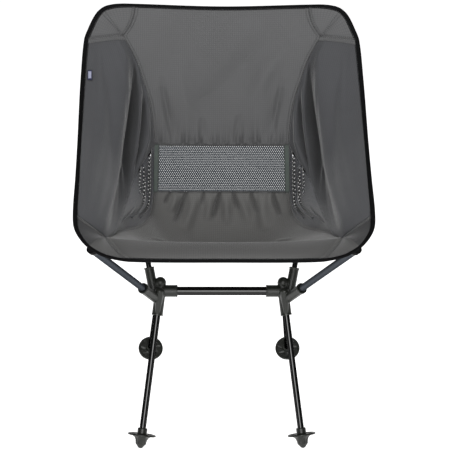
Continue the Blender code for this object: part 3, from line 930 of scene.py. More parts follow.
def net_sheet(name, sheet, look, replaces, pleats=()):
    """An open net on the grid's surface: one six-sided hole in each staggered cell.

    A pleat is (start, end, half width, depth) in the sheet's metres: the cloth doubles
    back on itself along that line.
    """
    widths = np.linalg.norm(np.diff(sheet, axis=1), axis=2).sum(axis=1)
    size = float(np.linalg.norm(np.diff(sheet[:, sheet.shape[1] // 2], axis=0), axis=1).sum())
    normals = grid_normals(sheet)
    across = int(np.ceil(widths.max() / NET_PITCH)) + 1
    verts, index, faces = [], {}, []

    def vertex(key, s, w):
        if key not in index:
            index[key] = len(verts)
            verts.append((s, w))
        return index[key]

    def limit(s):
        return float(np.interp(s / size, np.linspace(0, 1, len(widths)), widths))

    for row in range(int(size / NET_ROW)):
        for column in range(-1, across):
            s = (row + 0.5) * NET_ROW
            w = (column + 0.5 + 0.5 * (row % 2)) * NET_PITCH
            if w - NET_PITCH / 2 > limit(s) or w + NET_PITCH / 2 < 0:
                continue
            half_row, half = NET_ROW / 2, NET_PITCH / 2
            corners = [(-half_row, -half), (-half_row, 0), (-half_row, half),
                       (half_row, half), (half_row, 0), (half_row, -half)]
            outer = []
            for ds, dw in corners:
                step = round((w + dw) / half)
                outer.append(vertex((row + (ds > 0), step), s + ds, w + dw))
            room = min(w, limit(s) - w)
            if room < half * HOLE_ROOM:
                faces.append(tuple(outer))
                continue
            hole = [vertex((row, column, k), s + ds * (HOLE_TIP if dw == 0 else HOLE_SHOULDER),
                           w + dw * HOLE_SIDE) for k, (ds, dw) in enumerate(corners)]
            for k in range(6):
                m = (k + 1) % 6
                faces.append((outer[k], outer[m], hole[m], hole[k]))
    flat = np.array(verts)
    flat[:, 0] = np.clip(flat[:, 0], 0, size)
    limits = np.interp(flat[:, 0] / size, np.linspace(0, 1, len(widths)), widths)
    flat[:, 1] = np.clip(flat[:, 1], 0, limits)
    moved, height = flat.copy(), np.zeros(len(flat))
    for start, end, half, depth in pleats:
        a, b = np.array(start), np.array(end)
        span = np.linalg.norm(b - a)
        d = (b - a) / span
        side = np.array((-d[1], d[0]))
        q = ((flat - a) @ d) / span
        off = (flat - a) @ side
        fade = np.clip(np.sin(np.pi * np.clip(q, 0, 1)), 0, 1) ** 0.5
        inside = np.abs(off) < half
        push = np.where(inside, -0.95 * half * np.sin(np.pi * off / half), 0.0) * fade
        moved += push[:, None] * side
        height += np.where(inside, depth * (1 + np.cos(np.pi * off / half)) / 2
                           + 0.35 * depth * np.sin(np.pi * off / half), 0.0) * fade
    t = moved[:, 0] / size
    limits = np.interp(t, np.linspace(0, 1, len(widths)), widths)
    v = moved[:, 1] / limits
    place_at = sample(sheet, t, v) + unit_rows(sample(normals, t, v)) * height[:, None]
    mesh = to_mesh(name, place_at + TO_WORLD, faces, flat)
    work = bmesh.new()
    work.from_mesh(mesh)
    bmesh.ops.dissolve_degenerate(work, dist=1e-6, edges=work.edges)
    work.to_mesh(mesh)
    work.free()
    obj = link(bpy.data.objects.new(name, mesh))
    return finish_sheet(obj, NET_THICKNESS, look, replaces)


# ==== Sling: the panels ===============================================================
SEAM_GAP = 0.0004          # half of the groove that shows at a seam
PANEL_COLUMNS = 141
LIP_ROWS = 14              # from the hem to the crest of the lip
BOWL_ROWS, BACK_ROWS, BACK_TOP_ROWS = 91, 81, 22
HEM_IN = 0.0012            # the cloth's raw edge, inside the binding


def rim(t, first, last):
    return curve(RIM, t, first, last)


def rim_by_x(first, last, x):
    """Points of a level stretch of rim at the given x, on either side of the middle."""
    line = rim(np.linspace(0, 1, 60), first, last)
    line = line[np.argsort(line[:, 0])]
    return np.stack([x, np.interp(np.abs(x), line[:, 0], line[:, 1]),
                     np.interp(np.abs(x), line[:, 0], line[:, 2])], axis=1)


def symmetric_row(centre, edge, columns, power):
    u = np.linspace(-1, 1, columns) * (1 - SEAM_GAP / edge[0])
    rise = np.abs(u)[:, None] ** power
    row = np.asarray(centre) + (np.asarray(edge) - np.asarray(centre)) * rise
    row[:, 0] = u * edge[0]
    return row


def lumbar_centre(edge):
    return np.array((0.0, edge[1] + LUMBAR_DEPTH, edge[2] - 0.0035))


def seat_grid():
    """The lip rolls from the hem up to the crest, then the bowl runs to the lumbar strip."""
    crest = symmetric_row(SEAT_CENTRE[0], FRONT_CORNER, PANEL_COLUMNS, 2.6)
    patch_seam = bulged(FRONT_EDGE[0], FRONT_CORNER, FRONT_SEAM_PUSH, LIP_ROWS + 1)
    rows = []
    for k, edge in enumerate(patch_seam[:-1]):
        roll = k / (len(patch_seam) - 1) * math.pi / 2
        share = edge[0] - SEAM_GAP
        x = np.linspace(-share, share, PANEL_COLUMNS)
        hem = rim_by_x(HEM_MIDDLE, HEM_END, np.clip(x, -FRONT_EDGE[0][0], FRONT_EDGE[0][0]))
        hem[:, 0] = x
        top = crest.copy()
        top[:, 0] = x
        mix = np.array((0.0, 1 - math.cos(roll), math.sin(roll)))
        row = hem * (1 - mix) + top * mix
        row[:, 1] += HEM_IN * (1 - k / len(patch_seam))
        pull = np.abs(np.linspace(-1, 1, PANEL_COLUMNS))[:, None] ** 8
        target = np.repeat([edge], PANEL_COLUMNS, axis=0)
        target[:, 0] = x
        rows.append(row * (1 - pull) + target * pull)
    t = np.linspace(0, 1, BOWL_ROWS)
    for k, (centre, edge) in enumerate(zip(curve(SEAT_CENTRE, t), curve(SEAT_SEAM, t))):
        power = 2.6 - 0.5 * min(1.0, k / 20)
        rows.append(symmetric_row(centre, edge, PANEL_COLUMNS, power))
    return np.array(rows)


def back_grid():
    """Up the back seams to the corner patches, then between the patches to the top hem."""
    rows = []
    levels = np.linspace(0, 1, BACK_ROWS)
    centres = curve(BACK_CENTRE, levels * BACK_CORNER_RISE)
    for centre, edge in zip(centres, curve(BACK_SEAM, levels)):
        rows.append(symmetric_row(centre, edge, PANEL_COLUMNS, 2.0))
    last = rows[-1]
    patch_seam = bulged(BACK_CORNER, TOP_EDGE[-1], BACK_SEAM_PUSH, BACK_TOP_ROWS)
    for k, edge in enumerate(patch_seam[1:], 1):
        share = k / (len(patch_seam) - 1)
        x = np.linspace(-1, 1, PANEL_COLUMNS) * (edge[0] - SEAM_GAP)
        top = rim_by_x(TOP_END, TOP_MIDDLE, x)
        low = np.stack([x, np.interp(x, last[:, 0], last[:, 1]),
                        np.interp(x, last[:, 0], last[:, 2])], axis=1)
        row = low * (1 - share) + top * share
        pull = np.abs(np.linspace(-1, 1, PANEL_COLUMNS))[:, None] ** 6
        target = np.repeat([edge], PANEL_COLUMNS, axis=0)
        target[:, 0] = x
        row = row * (1 - pull) + target * pull
        row[:, 2] -= HEM_IN * share
        rows.append(row)
    return np.array(rows)


def between(inner, outer, columns, gap, hem):
    """Rows straight across from the inner line to the outer one, less gap and hem."""
    step = unit_rows(outer - inner)
    a = inner + step * gap
    b = outer - step * hem
    w = np.linspace(0, 1, columns)[None, :, None]
    return a[:, None] * (1 - w) + b[:, None] * w


def side_grid():
    t = np.linspace(0.0, 1.0, 121)
    inner = chain([MESH_LINE, BACK_SEAM], t)
    outer = rim(t, FRONT_END, SIDE_END)
    return between(inner, outer, 101, SEAM_GAP, HEM_IN)


def side_mesh_grid():
    t = np.linspace(0.10, 1.0, 81)
    low = chain([SEAT_SEAM, [LUMBAR_LOW, LUMBAR_HIGH]], t)
    high = curve(MESH_LINE, t)
    return between(low, high, 31, SEAM_GAP, SEAM_GAP)


def lumbar_grid():
    t = np.linspace(0.0, 1.0, 31)[:, None]
    edges = np.array(LUMBAR_LOW) * (1 - t) + np.array(LUMBAR_HIGH) * t
    return np.array([symmetric_row(lumbar_centre(e), e, PANEL_COLUMNS, 2.0) for e in edges])


def patch_grid(apex, first, last, seams):
    """A fan from its apex to the rim; the two outer lines follow the curved seams."""
    t = np.linspace(0, 1, 41)
    outer = rim(t, first, last)
    w = np.linspace(0, 1, 25)
    sheet = np.array(apex) * (1 - w[None, :, None]) + outer[:, None] * w[None, :, None]
    for seam, near in zip(seams, (1 - t, t)):
        line = curve(seam, w)
        straight = np.array(seam[0]) * (1 - w[:, None]) + np.array(seam[-1]) * w[:, None]
        sheet += (near[:, None, None] ** 3) * (line - straight)[None]
    return sheet


def declare(sheet):
    """Measure the grid's metres across and up it; the result is not used.
    """
    u, v = metric(sheet)


# The back's soft folds, in metres across it from its middle and up it from the lumbar strip.
BACK_FOLDS = (((0.105, 0.215), (-0.045, 0.060), 0.020, -0.0046),
              ((0.125, 0.190), (0.010, 0.030), 0.014, 0.0034),
              ((-0.095, 0.200), (-0.030, 0.090), 0.018, 0.0030),
              ((-0.108, 0.120), (-0.088, 0.005), 0.0045, -0.0030),
              ((0.108, 0.120), (0.088, 0.005), 0.0045, -0.0030),
              ((-0.030, 0.002), (-0.034, 0.050), 0.0040, -0.0024),
              ((0.024, 0.002), (0.030, 0.055), 0.0040, -0.0024))


def build_back():
    sheet = back_grid()
    u, v = metric(sheet)
    height = 0.0012 * wave(np.random.default_rng(3), u, 0.10, 4) * np.clip(1.2 - v / 0.18, 0, 1)
    gathers = wave(np.random.default_rng(5), u, 0.014, 3) * np.exp(-v / 0.015)
    height += 0.0064 * gathers * np.clip(v / 0.004, 0, 1)
    for side in (-1, 1):
        height += fold(u, v, (side * 0.050, 0.01), (side * 0.085, 0.16), 0.016, 0.0040)
        height += fold(u, v, (side * 0.075, 0.00), (side * 0.110, 0.10), 0.010, -0.0034)
    for start, end, width, push in BACK_FOLDS:
        height += fold(u, v, start, end, width, push)
    sheet = lift(sheet, height)
    obj = grid_sheet("back_cloth", sheet, "grey_ripstop", ["back_panel"])
    seams = seam_bands("back_seam", sheet, "grey_ripstop")
    declare(sheet)
    runs = [(edge, inset) for edge in COLUMN_EDGES for inset in (0.0012, 0.0046)]
    edge_stitches("back_seam_stitches", sheet, 0.0009, runs)
    return sheet


# The seat's folds: (start, end, half width, height), in metres across it from its middle and
# down it from the lumbar strip.
SEAT_FOLDS = (((-0.091, -0.002), (-0.103, 0.022), 0.0024, -0.0062),
              ((-0.078, 0.002), (-0.094, 0.040), 0.0070, 0.0066),
              ((-0.062, -0.003), (-0.085, 0.060), 0.0029, -0.0080),
              ((-0.045, 0.002), (-0.068, 0.074), 0.0105, 0.0092),
              ((-0.031, -0.002), (-0.036, 0.022), 0.0022, -0.0042),
              ((-0.018, 0.002), (-0.026, 0.050), 0.0075, 0.0058),
              ((-0.002, -0.003), (-0.015, 0.044), 0.0030, -0.0078),
              ((0.008, 0.002), (0.010, 0.056), 0.0080, 0.0064),
              ((0.019, -0.003), (0.030, 0.030), 0.0028, -0.0066),
              ((0.034, 0.002), (0.050, 0.056), 0.0090, 0.0064),
              ((0.052, -0.002), (0.064, 0.040), 0.0026, -0.0056),
              ((0.070, 0.002), (0.080, 0.076), 0.0115, 0.0090),
              ((0.090, -0.002), (0.106, 0.048), 0.0032, -0.0078))


def paint_lip_shade(obj, v):
    """Painted shade: the lip, from the hem up to its crest, gets a darker copy of the seat's cloth.
    """
    obj.data.materials.append(MATERIALS["lip_ripstop"])
    place_on_cloth = obj.data.uv_layers["metres"].data
    edge = v[LIP_ROWS, 0]
    for face in obj.data.polygons:
        if sum(place_on_cloth[i].uv[1] for i in face.loop_indices) / face.loop_total < edge:
            face.material_index = 1


def build_seat():
    sheet = seat_grid()
    u, v = metric(sheet)
    down = v.max() - v
    puckers = wave(np.random.default_rng(11), u, 0.013, 4) * np.exp(-down / 0.009)
    height = 0.0034 * puckers * np.clip(down / 0.004, 0, 1)
    for start, end, width, push in SEAT_FOLDS:
        height += fold(u, down, start, end, width, push)
    for side in (-1, 1):
        for k in range(5):      # creases that fan out below the bowl's corners
            foot = (side * (0.128 - 0.011 * k), 0.150 + 0.012 * k)
            tip = (side * (0.098 - 0.016 * k), 0.118 + 0.020 * k)
            height += fold(u, down, foot, tip, 0.0030, 0.0022 * (-1) ** k)
    swells = wave(np.random.default_rng(12), u + 0.3 * v, 0.07, 4)
    height += 0.0015 * swells * np.clip((v - 0.06) / 0.05, 0, 1)
    sheet = lift(sheet, height)
    obj = grid_sheet("seat_cloth", sheet, "seat_ripstop", ["seat_panel"])
    paint_lip_shade(obj, v)
    seams = seam_bands("seat_seam", sheet, "seat_ripstop")
    declare(sheet)
    runs = [(edge, inset) for edge in COLUMN_EDGES for inset in (0.0012, 0.0042)]
    edge_stitches("seat_seam_stitches", sheet, 0.0009, runs)
    return sheet


def build_lumbar(back, seat):
    sheet = lumbar_grid()
    sheet[0] = seat[-1]
    sheet[-1] = back[0]
    obj = net_sheet("lumbar_net", sheet, "grey_mesh", ["lumbar_mesh"])
    tapes = [edge_band(f"lumbar_tape_{edge}", sheet, edge, 0.0105, "knit_tape", 0.0008,
                       start=-0.0030) for edge in COLUMN_EDGES]
    hems = [edge_band(f"lumbar_hem_{edge}", sheet, edge, 0.0022, "grey_ripstop", 0.0004)
            for edge in ROW_EDGES]
    declare(sheet)
    runs = [(edge, 0.0011) for edge in ROW_EDGES]
    runs += [(edge, inset) for edge in COLUMN_EDGES for inset in (-0.0016, 0.0062)]
    edge_stitches("lumbar_stitches", sheet, 0.0010, runs, pitch=0.0030, width=0.0009)


TAG_UP = 0.0080            # the tag's middle, up the edge from its CAD solid's
TAG_IN = 0.0066            # from the cloth's edge, under the binding
TAG_COLUMN = -12           # the side cloth's column that runs under the tag
TAG_ROWS, TAG_COLUMNS = 19, 11
TAG_OFF, TAG_CURL = 0.0011, 0.0009    # off the cloth at its sewn edge, and further at its free one
TAG_THICKNESS = 0.0009


def build_tag(sheet):
    """The small blank tag, sewn on beside the left binding and lying on the side panel."""
    low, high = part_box("label_tag")
    spot = np.array((low + high) / 2) - TO_WORLD + np.array((0.0, 0.0, TAG_UP))
    under = sheet[:, TAG_COLUMN]
    row = int(np.argmin(np.linalg.norm(under - spot, axis=1)))
    rise = np.linalg.norm(under[row + 1] - under[row - 1]) / 2
    t = (row + np.linspace(-0.5, 0.5, TAG_ROWS) * TAG_LENGTH / rise) / (sheet.shape[0] - 1)
    across = np.linspace(0, 1, TAG_COLUMNS)
    v = 1 - (TAG_IN + across * TAG_WIDTH) / length_of(sheet[row])
    T, V = (A.ravel() for A in np.meshgrid(t, v, indexing="ij"))
    off = np.tile(TAG_OFF + TAG_CURL * across**2, TAG_ROWS)[:, None]
    lying = sample(sheet, T, V) + unit_rows(sample(grid_normals(sheet), T, V)) * off
    return grid_sheet("blank_tag", lying.reshape(TAG_ROWS, TAG_COLUMNS, 3), "tag_cloth",
                      ["label_tag"], TAG_THICKNESS)


# The side panel's folds: (line, half width, height). A line's points are a distance from the
# chair's middle and a height, from the bottom up.
SIDE_FOLDS = (
    (((0.1640, 0.400), (0.1605, 0.450), (0.1590, 0.500), (0.1562, 0.560), (0.1545, 0.600),
      (0.1560, 0.640)), 0.0030, -0.0085),
    (((0.1580, 0.420), (0.1510, 0.470), (0.1480, 0.520), (0.1460, 0.570), (0.1450, 0.600)),
     0.0034, 0.0050),
    (((0.1560, 0.415), (0.1490, 0.454), (0.1430, 0.483), (0.1400, 0.520), (0.1380, 0.570),
      (0.1388, 0.592)), 0.0030, -0.0090),
    (((0.1400, 0.450), (0.1335, 0.490), (0.1312, 0.525), (0.1330, 0.565)), 0.0032, 0.0060),
    (((0.1760, 0.410), (0.1720, 0.480), (0.1690, 0.560), (0.1670, 0.610)), 0.0036, 0.0042),
    (((0.1990, 0.420), (0.2020, 0.600)), 0.0060, -0.0022),
    (((0.2140, 0.470), (0.2160, 0.660)), 0.0060, 0.0016))


# How the panel lies at each height: the height, where it stands out most, where it lies back
# most (both from the chair's middle), and that hollow's half width and depth.
SIDE_SHAPE = ((0.410, 0.196, 0.169, 0.0180, 0.0190),
              (0.500, 0.186, 0.163, 0.0150, 0.0180),
              (0.570, 0.178, 0.159, 0.0090, 0.0120),
              (0.640, 0.172, 0.158, 0.0060, 0.0040))


def side_fold(x, z, line, width, height):
    """A ridge or furrow along a line that runs up the panel, fading at both ends."""
    across, up = np.array(line).T
    share = np.clip((z - up[0]) / (up[-1] - up[0]), 0, 1)
    off = (x - np.interp(z, up, across)) / width
    return height * np.sin(np.pi * share) ** 0.6 * np.exp(-off**2)


# Its pleats: (start, end, half width, depth), in metres back along it and up across it.
SIDE_NET_PLEATS = (((0.310, 0.016), (0.150, 0.014), 0.0060, 0.008),
                   ((0.255, 0.036), (0.120, 0.022), 0.0065, 0.009),
                   ((0.290, 0.050), (0.200, 0.046), 0.0050, 0.007),
                   ((0.160, 0.040), (0.070, 0.022), 0.0040, 0.005))


CREST = 0.0140             # how far the side cloth stands out along its crest
CREST_IN, CREST_OUT = 0.013, 0.044    # the crest's half widths, inwards and outwards


def side_height(base):
    """How far the side cloth stands off its grid: a crest, a hollow, ripples and folds."""
    x, z = base[..., 0], base[..., 2]
    w = np.linspace(0, 1, base.shape[1])[None, :]
    t = np.linspace(0, 1, base.shape[0])[:, None]
    along = np.sin(np.pi * t) ** 0.5
    swell = 0.0060 * np.sin(np.pi * w ** 0.8) * along
    level, crest_x, hollow_x, hollow_width, depth = np.array(SIDE_SHAPE).T
    past = x - np.interp(z, level, crest_x)
    crest = CREST * np.exp(-(past / np.where(past < 0, CREST_IN, CREST_OUT)) ** 2) * along
    off = (x - np.interp(z, level, hollow_x)) / np.interp(z, level, hollow_width)
    crest -= np.interp(z, level, depth) * np.exp(-off**2) * along
    crest *= np.clip(np.sin(np.pi * w) * 1.8, 0, 1)
    ripples = wave(np.random.default_rng(21), w * 0.09 + 0 * t, 0.014, 5) * along
    height = swell + crest + 0.0011 * ripples * np.sin(np.pi * w)
    inside = np.clip(np.sin(np.pi * w) * 3, 0, 1)
    for line, width, push in SIDE_FOLDS:
        height += side_fold(x, z, line, width, push) * inside
    return height


def build_sides():
    base = side_grid()
    for label, grid in both_sides(lift(base, side_height(base))).items():
        obj = grid_sheet(f"side_cloth_{label}", grid, "side_ripstop", [f"side_panel_{label}"])
        allowance = edge_band(f"side_allowance_{label}", grid, "first_col", 0.009,
                              "side_ripstop", -0.0009, start=-0.0030)
        top_band = edge_band(f"side_top_band_{label}", grid, "last_row", 0.0090,
                             "grey_ripstop", 0.0007, thickness=0.0007)
        edge_stitches(f"side_top_stitches_{label}", grid, 0.0011,
                      (("last_row", 0.0014), ("last_row", 0.0078)))
        sewn_on = [build_tag(grid)] if label == "left" else []
        declare(grid)
    for label, grid in both_sides(side_mesh_grid()).items():
        obj = net_sheet(f"side_net_{label}", grid, "gusset_mesh", [f"side_mesh_{label}"],
                        SIDE_NET_PLEATS)
        tape = edge_band(f"side_net_tape_{label}", grid, "last_col", 0.004, "black_webbing",
                         -0.0004)
        declare(grid)


PATCH_RIDGE = {"front": 0.0085, "back": 0.0026}    # down the middle of a corner patch


def paint_facet_shade(obj, grid):
    """Painted shade: the facet above the front patch's ridge gets a near-black copy of the cloth, for
    the shade that falls on it.
    """
    obj.data.materials.append(MATERIALS["facet_shade_ripstop"])
    middle = grid.shape[0] // 2
    ridge = grid[middle, [0, -1]] + TO_WORLD
    above = np.cross(ridge[1] - ridge[0], grid_normals(grid)[middle, grid.shape[1] // 2])
    above *= math.copysign(1.0, above[2])
    for face in obj.data.polygons:
        if (np.array(face.center) - ridge[0]) @ above > 0:
            face.material_index = 1


def build_patches():
    front_seams = (bulged(FRONT_CORNER, FRONT_EDGE[0], FRONT_SEAM_PUSH, 5),
                   [FRONT_CORNER, FRONT_EDGE[-1]])
    back_seams = ([BACK_CORNER, SIDE_EDGE[-1]],
                  bulged(BACK_CORNER, TOP_EDGE[-1], BACK_SEAM_PUSH, 5))
    for where, apex, first, last, seams in (
            ("front", FRONT_CORNER, HEM_END, FRONT_END, front_seams),
            ("back", BACK_CORNER, SIDE_END, TOP_END, back_seams)):
        sheet = patch_grid(apex, first, last, seams)[:, 1:]
        t = np.linspace(0, 1, sheet.shape[0])[:, None]
        w = np.linspace(0, 1, sheet.shape[1])[None, :]
        ridge = np.exp(-np.abs(t - 0.5) / 0.20) * np.sin(np.pi * w) ** 0.8
        sheet = lift(sheet, PATCH_RIDGE[where] * ridge)
        look = "lip_ripstop" if where == "front" else "grey_ripstop"
        for label, grid in both_sides(sheet).items():
            obj = grid_sheet(f"patch_{where}_{label}", grid, look,
                             [f"corner_patch_{where}_{label}"])
            if where == "front":
                paint_facet_shade(obj, grid)
            bands = [edge_band(f"patch_band_{where}_{label}_{edge}", grid, edge, 0.0045, look,
                               0.0006) for edge in ROW_EDGES]
            bands += [edge_band(f"patch_backing_{where}_{label}_{edge}", grid, edge, 0.008, look,
                                -0.0008, start=-0.0035) for edge in ROW_EDGES]
            declare(grid)
            N = grid_normals(grid)
            middle = grid.shape[0] // 2
            runs = [(grid[middle + step, 2:-2] + N[middle + step, 2:-2] * 0.0009,
                     N[middle + step, 2:-2]) for step in (-1, 1)]
            runs += [side_path(lift(grid, 0.0011), edge, inset) for edge in ROW_EDGES
                     for inset in (0.0012, 0.0038)]
            stitches(f"patch_stitches_{where}_{label}", runs)


# ---- corner pockets ------------------------------------------------------------------
POCKET_WALL = 0.0009
LOOP_WIDTH, LOOP_THICKNESS = 0.0088, 0.0009
LOOP_TURNS = 25


def build_pocket(where, label, rim_points):
    """A webbing cap over the pole's tip, tied into the binding by a loop."""
    node = f"corner_pocket_{where}_{label}"
    end, mouth, radius = node_axis(node, HUB_CENTRE[label])
    length = (end - mouth).length
    inner = radius - POCKET_WALL
    profile = [(0, length), (radius * 0.50, length - 0.0002), (radius * 0.80, length - 0.0009),
               (radius * 0.95, length - 0.0022), (radius, length - 0.0038), (radius, 0.0022),
               (radius + 0.0005, 0.0017), (radius + 0.0006, 0.0009), (radius + 0.0003, 0.0001),
               (inner + 0.0003, 0.0), (inner, 0.0006), (inner, length - 0.0030),
               (inner * 0.7, length - 0.0012), (0, length - 0.0009)]
    mesh = turned_mesh(node, profile, 40, angle=50)
    mesh.transform(axis_frame(mouth, end - mouth))
    cap = link(bpy.data.objects.new(f"pocket_cap_{where}_{label}", mesh))
    place(cap, "black_webbing", replaces=[node])
    build_pocket_loop(where, label, rim_points, mouth, end, radius)


def build_pocket_loop(where, label, rim_points, mouth, end, radius):
    """Webbing that runs from the nearest point of the binding round the cap and back."""
    axis = np.array((end - mouth).normalized())
    centre = np.array((end + mouth) / 2) - TO_WORLD
    tie = rim_points[np.argmin(np.linalg.norm(rim_points - centre, axis=1))]
    along = float((tie - centre) @ axis)
    flat = tie - centre - axis * along
    reach = float(np.linalg.norm(flat))
    towards = flat / reach
    beside = np.cross(axis, towards)
    turn = radius + LOOP_THICKNESS
    tangent = math.acos(min(turn / reach, 1.0))    # where the webbing leaves the cap
    rows = []
    for sign in (1, -1):
        touch = centre + turn * (towards * math.cos(tangent) + beside * math.sin(tangent) * sign)
        foot = centre + towards * reach + beside * (LOOP_THICKNESS * 0.6 * sign) + axis * along
        run = [foot + (touch - foot) * share for share in np.linspace(0, 1, 9)[:-1]]
        rows.append(run if sign > 0 else run[::-1])
    angles = np.linspace(tangent, 2 * math.pi - tangent, LOOP_TURNS)
    bend = [centre + turn * (towards * math.cos(a) + beside * math.sin(a)) for a in angles]
    path = np.array([*rows[0], *bend, *rows[1]])
    across = np.linspace(-0.5, 0.5, 7)[None, :, None] * axis * LOOP_WIDTH
    grid_sheet(f"pocket_loop_{where}_{label}", path[:, None] + across, "black_webbing",
               thickness=LOOP_THICKNESS)
    runs = []
    for sign in (1, -1):
        spot = path[5 if sign > 0 else -6] + beside * (LOOP_THICKNESS * 0.5 * sign)
        line = spot + np.linspace(-0.42, 0.42, 12)[:, None] * axis * LOOP_WIDTH
        runs.append((line, np.repeat([beside * sign], 12, axis=0)))
    stitches(f"pocket_stitches_{where}_{label}", runs, pitch=0.0020, size=0.0015)


def build_pockets():
    points, _ = binding_frames()
    for label, side in SIDES.items():
        for where in ("front", "back"):
            build_pocket(where, label, points * np.array((side, 1.0, 1.0)))


# ---- binding -------------------------------------------------------------------------
TAPE_WIDTH = 0.0098        # at the sides
TAPE_WIDTH_ENDS = 0.0070   # along the top and the bottom
TAPE_THICKNESS = 0.0030
TAPE_SIDES = 20            # of its section
TAPE_CHANGE = (0.165, 0.050)    # from the middle to where it starts to widen, and how far on


def binding_frames():
    """Points along the right half of the rim, with the direction into the cloth at each."""
    stretches = ((HEM_MIDDLE, HEM_END, 60), (HEM_END, FRONT_END, 70), (FRONT_END, SIDE_END, 150),
                 (SIDE_END, TOP_END, 70), (TOP_END, TOP_MIDDLE, 60))
    points, inward = [], []
    for k, (first, last, count) in enumerate(stretches):
        t = np.linspace(0, 1, count, endpoint=(k == len(stretches) - 1))
        line = rim(t, first, last)
        if k == 0:      # the lip runs back and up from the hem
            goal = line + np.array((0.0, 0.012, 0.012))
        elif k == 1:
            goal = np.repeat([FRONT_CORNER], count, axis=0)
        elif k == 2:
            goal = chain([MESH_LINE, BACK_SEAM], t)
        elif k == 3:
            goal = np.repeat([BACK_CORNER], count, axis=0)
        else:           # the back runs down and a little forward from the top
            goal = line + np.array((0.0, -0.004, -0.03))
        points.append(line)
        inward.append(unit_rows(goal - line))
    points, inward = np.concatenate(points), np.concatenate(inward)
    kernel = np.hanning(25) / np.hanning(25).sum()
    padded = np.pad(inward, ((12, 12), (0, 0)), mode="edge")
    inward = np.stack([np.convolve(padded[:, k], kernel, mode="valid") for k in range(3)], axis=1)
    along = unit_rows(np.gradient(points, axis=0))
    inward -= (inward * along).sum(axis=1, keepdims=True) * along
    return points, unit_rows(inward)


def tape_section(width):
    """Folded tape, flat with full edges: (into the cloth, off the cloth) in metres."""
    out = []
    for a in np.linspace(0, 2 * math.pi, TAPE_SIDES, endpoint=False):
        c, s = math.cos(a), math.sin(a)
        out.append((width / 2 * math.copysign(abs(c) ** 0.75, c),
                    TAPE_THICKNESS / 2 * math.copysign(abs(s) ** 0.6, s)))
    return out


def tape_widths(points):
    """Wide up the sides and narrow across the ends, changing round the corners."""
    start, stretch = TAPE_CHANGE
    share = np.clip((np.abs(points[:, 0]) - start) / stretch, 0, 1)
    return TAPE_WIDTH_ENDS + (TAPE_WIDTH - TAPE_WIDTH_ENDS) * share


def binding_piece(name, points, inward, node):
    along = unit_rows(np.gradient(points, axis=0))
    up = np.cross(inward, along)
    widths = tape_widths(points)
    ring = TAPE_SIDES
    verts, uvs = [], []
    for p, i, n, v, width in zip(points, inward, up, reach_along(points), widths):
        for a, b in tape_section(width):
            verts.append(p + i * a + n * b)
            uvs.append((a, v))
    rows = len(points)
    faces = [(r * ring + k, r * ring + (k + 1) % ring, (r + 1) * ring + (k + 1) % ring,
              (r + 1) * ring + k) for r in range(rows - 1) for k in range(ring)]
    faces += [tuple(range(ring))[::-1], tuple((rows - 1) * ring + k for k in range(ring))]
    mesh = to_mesh(name, np.array(verts) + TO_WORLD, faces, uvs)
    smooth_piece(name, mesh, "black_webbing", [node])


def build_binding():
    points, inward = binding_frames()
    corner_low = int(np.argmin(np.linalg.norm(points - np.array(FRONT_EDGE[2]), axis=1)))
    corner_high = int(np.argmin(np.linalg.norm(points - np.array(TOP_EDGE[3]), axis=1)))
    flip = np.array((-1.0, 1.0, 1.0))
    low = slice(1, corner_low + 1)
    high = slice(corner_high, len(points) - 1)
    middle = slice(corner_low, corner_high + 1)
    binding_piece("rim_tape_bottom",
                  np.concatenate([points[low][::-1] * flip, points[:1], points[low]]),
                  np.concatenate([inward[low][::-1] * flip, inward[:1], inward[low]]),
                  "binding_bottom")
    binding_piece("rim_tape_top",
                  np.concatenate([points[high], points[-1:], points[high][::-1] * flip]),
                  np.concatenate([inward[high], inward[-1:], inward[high][::-1] * flip]),
                  "binding_top")
    binding_piece("rim_tape_right", points[middle], inward[middle], "binding_side_right")
    binding_piece("rim_tape_left", points[middle] * flip, inward[middle] * flip,
                  "binding_side_left")
    runs = []
    for sign in (1.0, -1.0):
        mirror = np.array((sign, 1.0, 1.0))
        line, into = points * mirror, inward * mirror
        up = np.cross(into, unit_rows(np.gradient(line, axis=0))) * sign
        up *= -1.0 if (up @ SITTER).mean() < 0 else 1.0
        for face in (1.0, -1.0):
            inset = tape_widths(points)[:, None] / 2 - 0.0016
            runs.append((line + into * inset + up * face * TAPE_THICKNESS * 0.46, up * face))
    stitches("rim_stitches", runs)


back_cloth = build_back()
seat_cloth = build_seat()
build_lumbar(back_cloth, seat_cloth)
build_sides()
build_patches()
build_pockets()
build_binding()


# ==== Camera, light and floor =========================================================
FLOOR_Z = -0.050           # below the feet when the legs are pulled out of the hubs
FLOOR_RADIUS = 400.0
CAMERA_DISTANCE = 2.0053   # in front of the crossbar
CAMERA_HEIGHT = 1.0724
CAMERA_SIDE = -0.0354
PITCH = math.radians(19.304)
YAW = math.radians(1.145)
ROLL = math.radians(0.458)
LENS = 98.94
CHAIR_MIDDLE = (0.0, 0.0, 0.40)


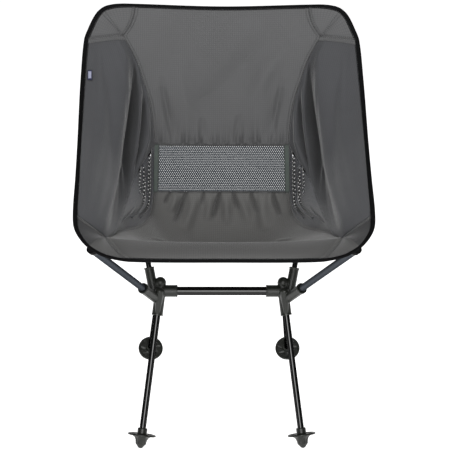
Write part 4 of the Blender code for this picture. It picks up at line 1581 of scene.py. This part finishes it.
def build_camera():
    data = bpy.data.cameras.new("camera")
    data.lens = LENS
    data.sensor_width = 36.0
    data.clip_start = 0.05
    data.clip_end = 2 * FLOOR_RADIUS
    obj = link(bpy.data.objects.new("camera", data))
    aim = Matrix.Rotation(-YAW, 4, "Z") @ Matrix.Rotation(math.pi / 2 - PITCH, 4, "X")
    place_at = Matrix.Translation((CAMERA_SIDE, HUB_Y - CAMERA_DISTANCE, CAMERA_HEIGHT))
    obj.matrix_world = place_at @ aim @ Matrix.Rotation(ROLL, 4, "Z")
    bpy.context.scene.camera = obj


def area_light(name, at, target, size, power):
    data = bpy.data.lights.new(name, "AREA")
    data.shape = "RECTANGLE"
    data.size, data.size_y = size
    data.energy = power
    obj = link(bpy.data.objects.new(name, data))
    obj.location = at
    obj.rotation_mode = "QUATERNION"
    obj.rotation_quaternion = (Vector(target) - Vector(at)).to_track_quat("-Z", "Y")


def build_studio():
    mesh = bpy.data.meshes.new("floor")
    work = bmesh.new()
    bmesh.ops.create_circle(work, cap_ends=True, radius=FLOOR_RADIUS, segments=64)
    work.to_mesh(mesh)
    work.free()
    floor = link(bpy.data.objects.new("floor", mesh))
    floor.location.z = FLOOR_Z
    n = Nodes("pale_floor")
    grain = noise(n, 6.0, 2.0)
    n.finish(Base_Color=n.mix(grain, rgb(0.93, 0.93, 0.93), rgb(0.95, 0.95, 0.95)), Roughness=0.9,
             Emission_Color=rgb(1, 1, 1), Emission_Strength=0.85)
    mesh.materials.append(n.material)

    world = bpy.data.worlds.new("studio")
    bpy.context.scene.world = world
    world.use_nodes = True
    background = world.node_tree.nodes["Background"]
    background.inputs["Color"].default_value = rgb(1, 1, 1)
    background.inputs["Strength"].default_value = 0.22
    area_light("front_softbox", (-0.10, -2.65, 1.32), CHAIR_MIDDLE, (1.55, 1.60), 88.0)
    area_light("top_softbox", (0.0, -0.3, 2.9), CHAIR_MIDDLE, (1.8, 1.4), 30.0)
    bpy.context.scene.view_settings.view_transform = "Standard"


build_camera()
build_studio()
build_poles()
build_mouldings()
